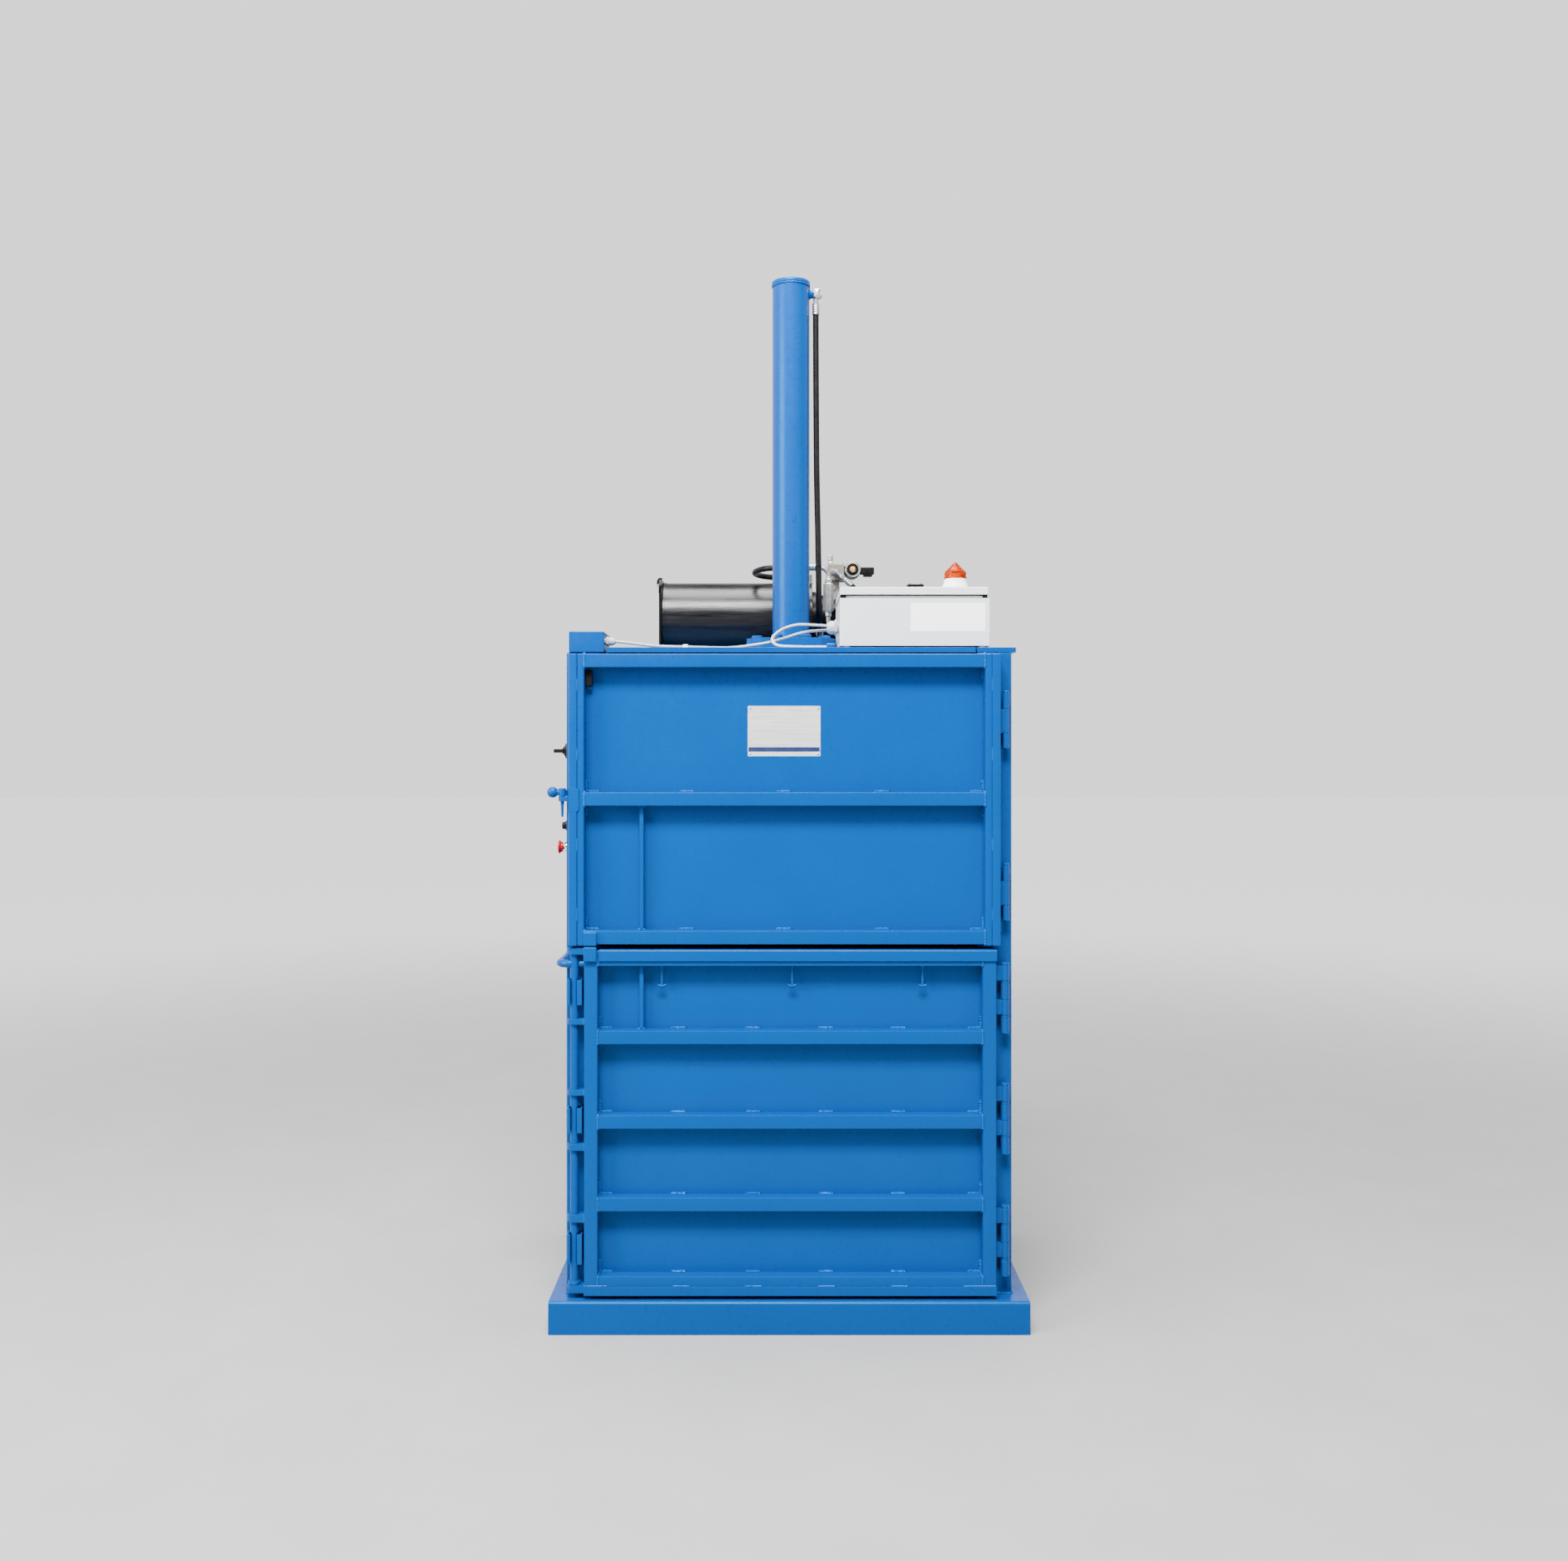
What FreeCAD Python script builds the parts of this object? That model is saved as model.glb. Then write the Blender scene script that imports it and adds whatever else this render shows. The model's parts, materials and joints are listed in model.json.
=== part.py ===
"""Vertical recycling baler: a two-door pressing chamber under a hydraulic cylinder.

Frame: X to the right, Y into the machine, Z up, millimetres.  The origin lies on
the floor under the middle of the base.  The doors close the front, at -Y.
"""
import FreeCAD, Part
import math
import operator
import os
import Sketcher

V = FreeCAD.Vector

# Driving dimensions, mm (angles in degrees).
SIZES = {
    # base and floor
    "base_width": 1380, "base_depth": 960, "base_height": 95, "base_wall": 8,
    "base_bend": 10, "base_rib_pitch": 230,
    "floor_thick": 24, "strap_slot": 20, "strap_slot_deep": 12,
    "strap_pitch": 376, "press_middle": 9,
    # side frames and sheets
    "body_width": 1294, "body_front": 410, "body_rear": 430, "body_top": 1957,
    "post_width": 100, "post_depth": 100, "post_wall": 5,
    "sheet_thick": 4, "chamber_rear": 330,
    "rib_height": 60, "rib_depth": 60, "rib_wall": 5, "rib_pitch": 312, "rib_first": 15,
    "side_gap": 2,
    # roof
    "roof_thick": 15, "roof_gap_left": 16, "roof_gap_right": 4, "cap_overhang": 13,
    "left_cap_front": 250,
    "beam_width": 80, "beam_height": 100, "beam_place": 190,
    # cylinder and ram
    "press_depth": -40, "tube_outer": 117, "tube_inner": 97, "tube_seat": 5, "tube_top": 3140,
    "roof_bore_gap": 0.8, "weld_fit": 0.05, "head_rim": 122, "head_thick": 13,
    "head_plug": 40, "head_boss": 26, "head_boss_tall": 18,
    "flange_width": 276, "flange_thick": 48, "flange_corner": 46,
    "bolt_circle": 230, "bolt_shank": 20, "bolt_gap": 0.5, "bolt_head": 30,
    "bolt_head_tall": 13, "bolt_grip": 12, "bolt_end": 4,
    "gland_tall": 60, "rod_dia": 60, "rod_fit": 0.05, "piston_tall": 55, "piston_fit": 0.06,
    "piston_spigot": 40, "piston_top_gap": 12,
    "platen_thick": 25, "platen_drop": 317, "platen_gap": 12, "platen_front_gap": 17,
    "platen_rib": 12, "platen_rib_tall": 110, "platen_rib_place": 330, "platen_cross_place": 190,
    "boss_dia": 170, "boss_thick": 20,
    "shoe_gap": 1.5, "shoe_width": 60, "shoe_tall": 90,
    # doors
    "door_gap": 2, "door_deep": 46, "tube_face": 40,
    "upper_left_in": 13, "upper_right_in": 39, "upper_low_gap": 10, "upper_top_gap": 7,
    "upper_stile": 20, "upper_strip": 25, "strip_proud": 3,
    "upper_rail_down": 418, "upper_rail_up": 4, "slim_rib": 12, "slim_rib_deep": 25,
    "slim_rib_out": 59,
    "lower_left_in": 57, "lower_right_in": 51, "lower_low_gap": 12, "lower_top": 1100,
    "lower_head_tall": 42, "lower_rail_a": 847, "lower_rail_b": 604, "lower_rail_c": 367,
    "foot_rail_up": 14, "foot_bar_tall": 26, "foot_bar_thick": 5,
    "lip_tall": 33, "lip_thick": 6, "lip_left_in": 44, "lip_round": 5,
    "tab_width": 38, "tab_down": 34, "tab_up": 8, "tab_gap": 3, "tab_tall": 43, "tab_thick": 12,
    # hinges
    "hinge_ahead": 27, "upper_hinge_out": 18, "upper_knuckle": 19,
    "upper_hinge_down": 114, "upper_hinge_up": 229, "upper_knuckle_end": 43,
    "upper_knuckle_mid": 71, "knuckle_gap": 0.4,
    "lower_hinge_out": 27, "lower_knuckle": 25, "lower_knuckle_tall": 44, "washer_tall": 9,
    "washer_less": 2, "lower_hinge_down": 48, "lower_hinge_mid": 704, "lower_hinge_up": 245,
    "pin_dia": 12, "pin_fit": 0.1, "pin_head": 8, "pin_end": 2, "pin_head_less": 2,
    "leaf_thick": 10,
    # lock
    "lock_out": 30, "lock_shaft_dia": 25, "lock_low": 109, "lock_flat": 16, "lock_flat_more": 3,
    "ear_deep": 40, "ear_fit": 0.1, "lock_collar": 36, "lock_collar_tall": 8,
    "keeper_gap": 1.5, "keeper_gap_right": 5.5, "keeper_wall": 6,
    "keeper_slot": 19, "keeper_back": 8,
    "lever_dia": 23, "lever_level": 1056, "lever_gap": 5.5, "lever_bend": 30, "lever_long": 247,
    "peg_dia": 20, "peg_gap": 0.8,
    "hook_rod": 7, "hook_long": 60, "hook_bar": 24, "hook_ahead": 22,
    # latch on the upper door
    "latch_out": 21, "latch_bracket_drop": 7, "latch_bracket_thick": 14,
    "latch_hub": 22, "latch_hub_tall": 24, "latch_ball": 32, "latch_reach": 28, "latch_root": 3,
    "latch_neck": 10, "latch_pin": 11, "latch_pin_tip": 6, "latch_pin_drop": 45, "latch_tail": 52,
    "latch_tail_thick": 7, "latch_tail_in": 0.5, "latch_tail_low": 2, "latch_tail_high": 4,
    "catch_gap": 3, "catch_deep": 20, "catch_tall": 18,
    # name plate and switch magnet
    "plate_wide": 211, "plate_tall": 146, "plate_thick": 1.5, "plate_aside": 1.5,
    "plate_drop": 3,
    "magnet_wide": 20, "magnet_tall": 45, "magnet_deep": 24, "magnet_drop": 7,
    # controls on the left wall
    "panel_front": 300, "panel_rear": 60, "panel_down": 222, "panel_tall": 390,
    "panel_sheet": 2, "knob_depth": -250, "knob_down": 63, "knob_dia": 46, "knob_long": 60,
    "knob_disc": 24, "knob_rim": 2, "knob_flare": 6, "knob_neck": 12, "knob_waist": 7,
    "grip_thick": 11, "grip_wide": 34, "grip_root": 27, "knob_collar": 7, "knob_stem": 12,
    "control_fit": 0.05, "stop_up": 38,
    "stop_dia": 40, "stop_reach": 49, "stop_head": 15, "stop_neck": 30, "stop_crown": 18,
    "stop_round": 2, "stop_rim": 4, "stop_collar_dia": 30, "stop_collar_long": 27,
    "stop_stem": 16, "stop_travel": 6,
    "start_up": 102, "start_dia": 22, "start_reach": 35, "start_round": 1,
    "start_collar_dia": 30, "start_collar_long": 25, "start_travel": 5,
    # switch box and cable glands
    "switch_left_in": 7, "switch_wide": 102, "switch_ahead": 4, "switch_deep": 150,
    "switch_tall": 61, "switch_wall": 2,
    "small_gland_depth": -380, "small_gland_up": 34, "small_gland_dia": 26,
    "small_gland_long": 30, "small_cable": 9,
    "large_gland_depth": -250, "large_gland_up": 71, "large_gland_dia": 46,
    "large_gland_long": 36, "hood_place": 110, "hood_depth": -345, "hood_wide": 26,
    "hood_tall": 16,
    # enclosure and beacon
    "encl_left": 151, "encl_right": 597, "encl_front": 330, "encl_deep": 300,
    "encl_foot": 22, "encl_foot_tall": 11, "encl_foot_in": 22, "encl_tall": 141, "encl_wall": 2,
    "encl_neck": 12, "encl_neck_tall": 11, "lid_tall": 22, "lid_skirt": 2, "lid_inset": 1,
    "lid_inset_right": 5, "hinge_pin_dia": 6, "lid_axis_back": 8, "lid_knuckle": 30,
    "lid_hinge_left": 70, "lid_hinge_right": 100, "lid_leaf": 4, "lid_ear": 6, "lid_ear_long": 34,
    "lid_ear_deep": 6, "lid_ear_gap": 1.5, "lid_ear_dia": 13,
    "board_up": 6, "board_thick": 3, "board_in": 24, "board_post": 10, "board_post_in": 15,
    "relay_first": 25, "relay_pitch": 55, "relay_wide": 45, "relay_deep": 80, "relay_tall": 72,
    "gear_front": 40, "supply_wide": 100, "supply_deep": 90, "supply_tall": 66, "supply_in": 30,
    "rail_left": 25, "rail_right": 40, "rail_deep": 50, "rail_back": 35, "rail_tall": 40,
    "beacon_place": 511, "beacon_depth": -180, "beacon_base": 80, "beacon_base_tall": 35,
    "beacon_edge": 4,
    "beacon_collar": 67, "beacon_collar_tall": 12, "lens_tall": 15, "lens_cone": 31, "lens_tip": 8,
    "lens_edge": 1.5, "lens_edge_tall": 3, "lens_tip_wide": 12,
    # power unit
    "unit_depth": 290, "unit_up": 142, "tank_dia": 260, "tank_wall": 3,
    "tank_left": -416, "tank_right": 82, "bracket_thick": 8, "bracket_wide": 280,
    "bracket_foot": 20, "lug_thick": 8, "lug_up": 18, "lug_down": 40, "lug_hole": 10,
    "lug_hole_in": 12, "lug_hole_down": 10,
    "saddle_thick": 20, "saddle_gap": 0.3, "tank_saddle_in": 45, "motor_saddle_in": 140,
    "adaptor_dia": 200, "adaptor_right": 190,
    "block_left": 133, "block_right": 187, "block_front": 165, "block_deep": 70,
    "block_up": 124, "block_tall": 54, "column_left": 140, "column_right": 171,
    "column_in": 15, "column_root": 30,
    "motor_dia": 190, "motor_right": 500, "fan_cover_long": 55, "motor_fin": 8, "motor_fins": 20,
    "terminal_place": 403, "terminal_wide": 54, "terminal_deep": 90, "terminal_up": 26,
    "terminal_root": 4,
    "coil_place": 214, "coil_down": 20, "coil_dia": 54, "coil_long": 60, "coil_ahead": 10,
    "coil_nut": 22, "coil_nut_long": 8, "coil_lug": 28, "coil_lug_near": 20, "coil_lug_far": 50,
    "plug_near": 15, "plug_wide": 30, "plug_right": 287, "plug_low": 20, "plug_high": 10,
    # hoses and their fittings
    "port_down": 24, "port_boss": 28, "port_boss_out": 13.5, "port_boss_in": 6, "port_nut": 32,
    "port_end": 107,
    "hose_dia": 19, "ferrule_dia": 23, "ferrule_long": 14, "nipple_dia": 15, "nipple_long": 50,
    "hose_top_place": 87.5, "intake_place": 105, "intake_level": 2060, "hose_end": 150,
    "valve_place": 132, "valve_low": 2128, "valve_tall": 91, "valve_flats": 30, "valve_nut": 18,
    "valve_nut_tall": 16, "valve_foot_tall": 18, "valve_tail": 36, "stub_in": 15,
    "elbow_bend": 30, "loop_front": 96, "loop_rear": 300, "loop_level": 2271,
    "loop_start": 62, "loop_end": 50, "return_place": 72, "return_level": 2262,
    "riser_dia": 26, "riser_over": 12,
    "relief_in": 10, "relief_deep": 35, "relief_nut": 18, "relief_nut_tall": 10,
    "relief_dia": 16, "relief_tall": 32,
}

doc = FreeCAD.newDocument("Baler")
sheet = doc.addObject("Spreadsheet::Sheet", "Sizes")


class Length:
    """A size that carries its value and its formula in the sheet's own names."""

    def __init__(self, value, formula):
        self.value = float(value)
        self.formula = formula

    def __add__(self, other):
        return combined(self, operator.add, "+", other)

    def __radd__(self, other):
        return combined(other, operator.add, "+", self)

    def __sub__(self, other):
        return combined(self, operator.sub, "-", other)

    def __rsub__(self, other):
        return combined(other, operator.sub, "-", self)

    def __mul__(self, other):
        return combined(self, operator.mul, "*", other)

    def __rmul__(self, other):
        return combined(other, operator.mul, "*", self)

    def __truediv__(self, other):
        return combined(self, operator.truediv, "/", other)

    def __neg__(self):
        return combined(0, operator.sub, "-", self)

    def __float__(self):
        return self.value


def as_length(item):
    """A plain number or a Length, as a Length."""
    return item if isinstance(item, Length) else Length(item, "%.6f" % item)


def combined(first, work, sign, second):
    """Two sizes joined by one sum, in value and in formula."""
    first, second = as_length(first), as_length(second)
    formula = "(%s %s %s)" % (first.formula, sign, second.formula)
    return Length(work(first.value, second.value), formula)


class Named:
    """Every driving dimension, under its own name."""


s = Named()
for row, (name, value) in enumerate(SIZES.items(), start=1):
    sheet.set("A%d" % row, name)
    sheet.set("B%d" % row, str(value))
    sheet.setAlias("B%d" % row, name)
    setattr(s, name, Length(value, "Sizes." + name))
doc.recompute()


# ---------------------------------------------------------------- builders

TURNS = {
    "x": FreeCAD.Rotation(V(0, 1, 0), 90),
    "-x": FreeCAD.Rotation(V(0, 1, 0), -90),
    "y": FreeCAD.Rotation(V(1, 0, 0), -90),
    "-y": FreeCAD.Rotation(V(1, 0, 0), 90),
    "z": FreeCAD.Rotation(),
    "-z": FreeCAD.Rotation(V(1, 0, 0), 180),
    "half": FreeCAD.Rotation(V(0, 0, 1), 180),
}


def bind(piece, field, size):
    """Ties one property of a piece to a size."""
    piece.setExpression(field, as_length(size).formula)


def place(piece, x, y, z, axis="z"):
    """Turns a piece along an axis and ties its place to three sizes."""
    piece.Placement = FreeCAD.Placement(V(0, 0, 0), TURNS[axis])
    for field, size in (("x", x), ("y", y), ("z", z)):
        bind(piece, "Placement.Base." + field, size)
    return piece


def block(x, y, z):
    """A box between two limits along each axis."""
    piece = doc.addObject("Part::Box", "Block")
    for field, (low, high) in zip(("Length", "Width", "Height"), (x, y, z)):
        bind(piece, field, as_length(high) - low)
    return place(piece, x[0], y[0], z[0])


def rod(axis, start, long, dia):
    """A round bar from a point along an axis."""
    piece = doc.addObject("Part::Cylinder", "Rod")
    bind(piece, "Radius", as_length(dia) / 2)
    bind(piece, "Height", long)
    return place(piece, *start, axis)


def cone(axis, start, long, dia, far_dia):
    """A round bar that tapers from one diameter to another."""
    piece = doc.addObject("Part::Cone", "Taper")
    bind(piece, "Radius1", as_length(dia) / 2)
    bind(piece, "Radius2", as_length(far_dia) / 2)
    bind(piece, "Height", long)
    return place(piece, *start, axis)


def hexagon(axis, start, long, flats):
    """A hexagonal bar, measured across its flats."""
    piece = doc.addObject("Part::Prism", "Hexagon")
    piece.Polygon = 6
    bind(piece, "Circumradius", as_length(flats) / math.sqrt(3))
    bind(piece, "Height", long)
    return place(piece, *start, axis)


def ball(middle, dia, axis="z"):
    """A whole ball, its poles along an axis."""
    piece = doc.addObject("Part::Sphere", "Ball")
    bind(piece, "Radius", as_length(dia) / 2)
    return place(piece, *middle, axis)


def bend(corner, radius, dia, axis):
    """A quarter of a round bend about a centre."""
    torus = doc.addObject("Part::Torus", "Bend")
    bind(torus, "Radius1", radius)
    bind(torus, "Radius2", as_length(dia) / 2)
    torus.Angle3 = 90
    return place(torus, *corner, axis)


def fused(pieces):
    """Several shapes as one solid."""
    joined = doc.addObject("Part::MultiFuse", "Joined")
    joined.Shapes = pieces
    joined.Refine = True
    return joined


def cut(piece, tools):
    """A piece without the shapes that are cut from it."""
    result = doc.addObject("Part::Cut", "Cut")
    result.Base = piece
    result.Tool = tools[0] if len(tools) == 1 else fused(tools)
    result.Refine = True
    return result


def together(pieces):
    """Separate solids of one kind, kept as a group."""
    group = doc.addObject("Part::Compound", "Group")
    group.Links = pieces
    return group


def mirror_span(side, near, far):
    """Limits along X between two distances from the middle, to one side."""
    return (as_length(near), as_length(far)) if side > 0 else (-as_length(far), -as_length(near))


PLANES = {"xy": "XY_Plane", "xz": "XZ_Plane", "yz": "YZ_Plane"}


def new_sketch(body, plane):
    """An empty sketch on one of a body's own origin planes."""
    sketch = body.newObject("Sketcher::SketchObject", "Outline")
    support = [item for item in body.Origin.OriginFeatures if item.Role == PLANES[plane]][0]
    sketch.AttachmentSupport = (support, [""])
    sketch.MapMode = "FlatFace"
    return sketch


def tie(sketch, kind, args, size):
    """Adds one dimension to a sketch and ties it to a size."""
    size = as_length(size)
    index = sketch.addConstraint(Sketcher.Constraint(kind, *args, size.value))
    sketch.setExpression("Constraints[%d]" % index, size.formula)


def draw(sketch, corners, holes=()):
    """A closed outline through corners, with round holes inside it."""
    corners = [(as_length(across), as_length(up)) for across, up in corners]
    count = len(corners)
    points = [V(across.value, up.value, 0) for across, up in corners]
    for index in range(count):
        sketch.addGeometry(Part.LineSegment(points[index], points[(index + 1) % count]))
    for index in range(count):
        sketch.addConstraint(Sketcher.Constraint("Coincident", index, 2, (index + 1) % count, 1))
    for index, (across, up) in enumerate(corners):
        tie(sketch, "DistanceX", (-1, 1, index, 1), across)
        tie(sketch, "DistanceY", (-1, 1, index, 1), up)
    for number, (across, up, dia) in enumerate(holes):
        across, up, dia = as_length(across), as_length(up), as_length(dia)
        circle = Part.Circle(V(across.value, up.value, 0), V(0, 0, 1), dia.value / 2)
        index = sketch.addGeometry(circle)
        tie(sketch, "DistanceX", (-1, 1, index, 3), across)
        tie(sketch, "DistanceY", (-1, 1, index, 3), up)
        tie(sketch, "Radius", (index,), dia / 2)


def plate(plane, corners, start, thick, holes=()):
    """A flat or folded piece: an outline drawn on a plane and given its thickness.

    It runs from start towards +Z, -Y or +X for an outline on xy, xz or yz."""
    body = doc.addObject("PartDesign::Body", "Plate")
    sketch = new_sketch(body, plane)
    draw(sketch, corners, holes)
    pad = body.newObject("PartDesign::Pad", "Pad")
    pad.Profile = sketch
    bind(pad, "Length", thick)
    offset = {"xy": (0, 0, start), "xz": (0, start, 0), "yz": (start, 0, 0)}[plane]
    place(body, *offset)
    sketch.Visibility = False
    return body


def turned(profile, start, axis="z"):
    """A turned piece: half its section, as (radius, height), spun about an axis."""
    body = doc.addObject("PartDesign::Body", "Turned")
    sketch = new_sketch(body, "xz")
    draw(sketch, profile)
    spin = body.newObject("PartDesign::Revolution", "Spin")
    spin.Profile = sketch
    spin.ReferenceAxis = (sketch, ["V_Axis"])
    spin.Angle = 360
    return place(body, *start, axis)


def rounded(body, radius, chosen):
    """Rounds the edges of a body's last feature that a test picks."""
    doc.recompute()
    last = body.Tip
    names = ["Edge%d" % (index + 1) for index, edge in enumerate(last.Shape.Edges) if chosen(edge)]
    fillet = body.newObject("PartDesign::Fillet", "Round")
    fillet.Base = (last, names)
    bind(fillet, "Radius", radius)
    return body


NODES = {}


def node(label, piece):
    """Names a finished sub-part."""
    piece.Label = label
    NODES[label] = piece
    return piece


# ---------------------------------------------------------------- shared places

half = s.body_width / 2
inner = half - s.post_width
front = -s.body_front
rear = s.body_rear
deck = s.base_height
floor_top = deck + s.floor_thick
roof_low = s.body_top
roof_top = roof_low + s.roof_thick
TOOL_MORE = 1    # how far a cutting tool runs past the faces that it opens
door_rear = front - s.door_gap
panel_face = door_rear - s.sheet_thick
door_front = panel_face - s.door_deep
press_x = s.press_middle
press_y = s.press_depth
strap_places = (press_x - s.strap_pitch, press_x, press_x + s.strap_pitch)
SIDES = {"left": -1, "right": 1}


# ---------------------------------------------------------------- base and floor

def base_frame():
    """The base: a plate folded down at the front and rear, with end plates and ribs."""
    wide = s.base_width / 2
    deep = s.base_depth / 2
    wall = s.base_wall
    skin = plate("yz", [(-deep, 0), (-deep + wall, 0), (-deep + wall, deck - wall),
                        (deep - wall, deck - wall), (deep - wall, 0), (deep, 0),
                        (deep, deck), (-deep, deck)], -wide, s.base_width)
    outer = deep.value

    def folded(edge):
        middle = edge.CenterOfMass
        return abs(abs(middle.y) - outer) < 1e-3 and abs(middle.z - deck.value) < 1e-3 \
            and edge.Length > s.base_width.value - 1

    skin = rounded(skin, s.base_bend, folded)
    ribs = []
    starts = [-wide, wide - wall]
    starts += [s.base_rib_pitch * number - wall / 2 for number in range(-2, 3)]
    for place_x in starts:
        ribs.append(block((place_x, place_x + wall), (-deep + wall, deep - wall), (0, deck - wall)))
    return fused([skin] + ribs)


def slotted(width, low, thick, slots_up):
    """Corners of a plate's section with the three strap slots in one face."""
    high = low + thick
    face = high if slots_up else low
    depth = -s.strap_slot_deep if slots_up else s.strap_slot_deep
    left, right = width
    corners = [(left, face)]
    for middle in strap_places:
        near, far = middle - s.strap_slot / 2, middle + s.strap_slot / 2
        corners += [(near, face), (near, face + depth), (far, face + depth), (far, face)]
    other = low if slots_up else high
    return corners + [(right, face), (right, other), (left, other)]


def floor_plate():
    """The chamber's floor, with three open channels for the baling straps."""
    reach = inner - s.side_gap
    corners = slotted((-reach, reach), deck, s.floor_thick, True)
    low_y = front + s.side_gap
    high_y = s.chamber_rear - s.side_gap
    return plate("xz", corners, high_y, high_y - low_y)


# ---------------------------------------------------------------- side frames and walls

RIB_COUNT = 6
rib_levels = [deck + s.rib_first + s.rib_pitch * number for number in range(RIB_COUNT)]
post_rear_near = s.chamber_rear


def hollow(x, y, z, wall):
    """A square tube that stands upright, open at both ends."""
    bore = block((as_length(x[0]) + wall, as_length(x[1]) - wall),
                 (as_length(y[0]) + wall, as_length(y[1]) - wall), z)
    return cut(block(x, y, z), [bore])


def side_frame(name):
    """One welded side: two posts, the channels between them and the strip on top."""
    side = SIDES[name]
    post_x = mirror_span(side, inner, half)
    pieces = [hollow(post_x, (front, front + s.post_depth), (deck, roof_low), s.post_wall),
              hollow(post_x, (post_rear_near, rear), (deck, roof_low), s.post_wall)]
    skin = inner + s.sheet_thick
    between = (front + s.post_depth, post_rear_near)
    for low in rib_levels:
        outer = block(mirror_span(side, skin, skin + s.rib_depth), between, (low, low + s.rib_height))
        space = block(mirror_span(side, skin, skin + s.rib_depth - s.rib_wall), between,
                      (low + s.rib_wall, low + s.rib_height - s.rib_wall))
        pieces.append(cut(outer, [space]))
    cap_front = front if side > 0 else -s.left_cap_front
    overhang = s.cap_overhang if side > 0 else as_length(0)
    pieces.append(block(mirror_span(side, inner, half + overhang), (cap_front, rear),
                        (roof_low, roof_top)))
    if side < 0:
        pieces.append(latch_catch())
    return fused(pieces)


def latch_catch():
    """The block on the left post that the upper door's latch closes against."""
    near = hinge_y + s.latch_tail + s.catch_gap
    return block((-half - s.latch_hub / 2, -half), (near, near + s.catch_deep),
                 (latch_top, latch_top + s.catch_tall))


def side_sheet(name):
    """The chamber's smooth wall on one side."""
    x = mirror_span(SIDES[name], inner, inner + s.sheet_thick)
    return block(x, (front + s.post_depth, post_rear_near), (deck, roof_low))


def rear_ribs():
    """Six horizontal channels behind the rear wall, between the rear posts."""
    skin = s.chamber_rear + s.sheet_thick
    pieces = []
    for low in rib_levels:
        outer = block((-inner, inner), (skin, skin + s.rib_depth), (low, low + s.rib_height))
        space = block((-inner, inner), (skin, skin + s.rib_depth - s.rib_wall),
                      (low + s.rib_wall, low + s.rib_height - s.rib_wall))
        pieces.append(cut(outer, [space]))
    return together(pieces)


# ---------------------------------------------------------------- roof

BOLT_COUNT = 8
bolt_places = []
for bolt in range(BOLT_COUNT):
    turn = math.radians(360.0 / BOLT_COUNT * (bolt + 0.5))
    bolt_places.append((press_x + s.bolt_circle * (math.cos(turn) / 2),
                        press_y + s.bolt_circle * (math.sin(turn) / 2)))


def top_plate():
    """The roof plate, bored for the cylinder and its eight bolts."""
    holes = [(press_x, press_y, s.tube_outer + s.roof_bore_gap * 2)]
    holes += [(x, y, s.bolt_shank + s.bolt_gap * 2) for x, y in bolt_places]
    left, right = -inner + s.roof_gap_left, inner - s.roof_gap_right
    corners = [(left, front), (right, front), (right, rear), (left, rear)]
    return plate("xy", corners, roof_low, s.roof_thick, holes)


def top_beams():
    """Two square beams under the roof plate, in front of and behind the cylinder."""
    pieces = []
    for middle in (press_y - s.beam_place, press_y + s.beam_place):
        y = (middle - s.beam_width / 2, middle + s.beam_width / 2)
        z = (roof_low - s.beam_height, roof_low)
        wall = s.post_wall
        bore = block((-inner, inner), (y[0] + wall, y[1] - wall), (z[0] + wall, z[1] - wall))
        pieces.append(cut(block((-inner, inner), y, z), [bore]))
    return together(pieces)


# ---------------------------------------------------------------- cylinder and ram

flange_top = roof_top + s.flange_thick
tube_low = roof_low + s.tube_seat
gland_top = tube_low + s.gland_tall
head_low = s.tube_top - s.head_plug
piston_high = head_low - s.piston_top_gap
piston_low = piston_high - s.piston_tall
platen_low = roof_low - s.platen_drop
platen_top = platen_low + s.platen_thick
boss_low = platen_top + s.platen_rib_tall
boss_high = boss_low + s.boss_thick


def ring(outer, bore, low, high):
    """Half the section of a ring about the cylinder's axis, as radii and heights."""
    return [(bore / 2, low), (outer / 2, low), (outer / 2, high), (bore / 2, high)]


def cylinder_tube():
    """The honed cylinder barrel."""
    return turned(ring(s.tube_outer, s.tube_inner, tube_low, s.tube_top), (press_x, press_y, 0))


def cylinder_head():
    """The cylinder's top cap: a plug in the bore, a rim and a lifting boss."""
    plug = s.tube_inner / 2 - s.weld_fit
    rim = s.head_rim / 2
    high = s.tube_top + s.head_thick
    boss = s.head_boss / 2
    profile = [(0, head_low), (plug, head_low), (plug, s.tube_top), (rim, s.tube_top),
               (rim, high), (boss, high), (boss, high + s.head_boss_tall),
               (0, high + s.head_boss_tall)]
    return turned(profile, (press_x, press_y, 0))


def cylinder_flange():
    """The square mounting flange with cut corners, welded round the barrel."""
    reach = s.flange_width / 2
    near = reach - s.flange_corner
    corners = []
    for across, up in ((1, 1), (-1, 1), (-1, -1), (1, -1)):
        pair = [(press_x + reach * across, press_y + near * up),
                (press_x + near * across, press_y + reach * up)]
        corners += pair if across * up > 0 else pair[::-1]
    holes = [(press_x, press_y, s.tube_outer + s.weld_fit * 2)]
    holes += [(x, y, s.bolt_shank + s.bolt_gap * 2) for x, y in bolt_places]
    return plate("xy", corners, roof_top, s.flange_thick, holes)


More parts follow.
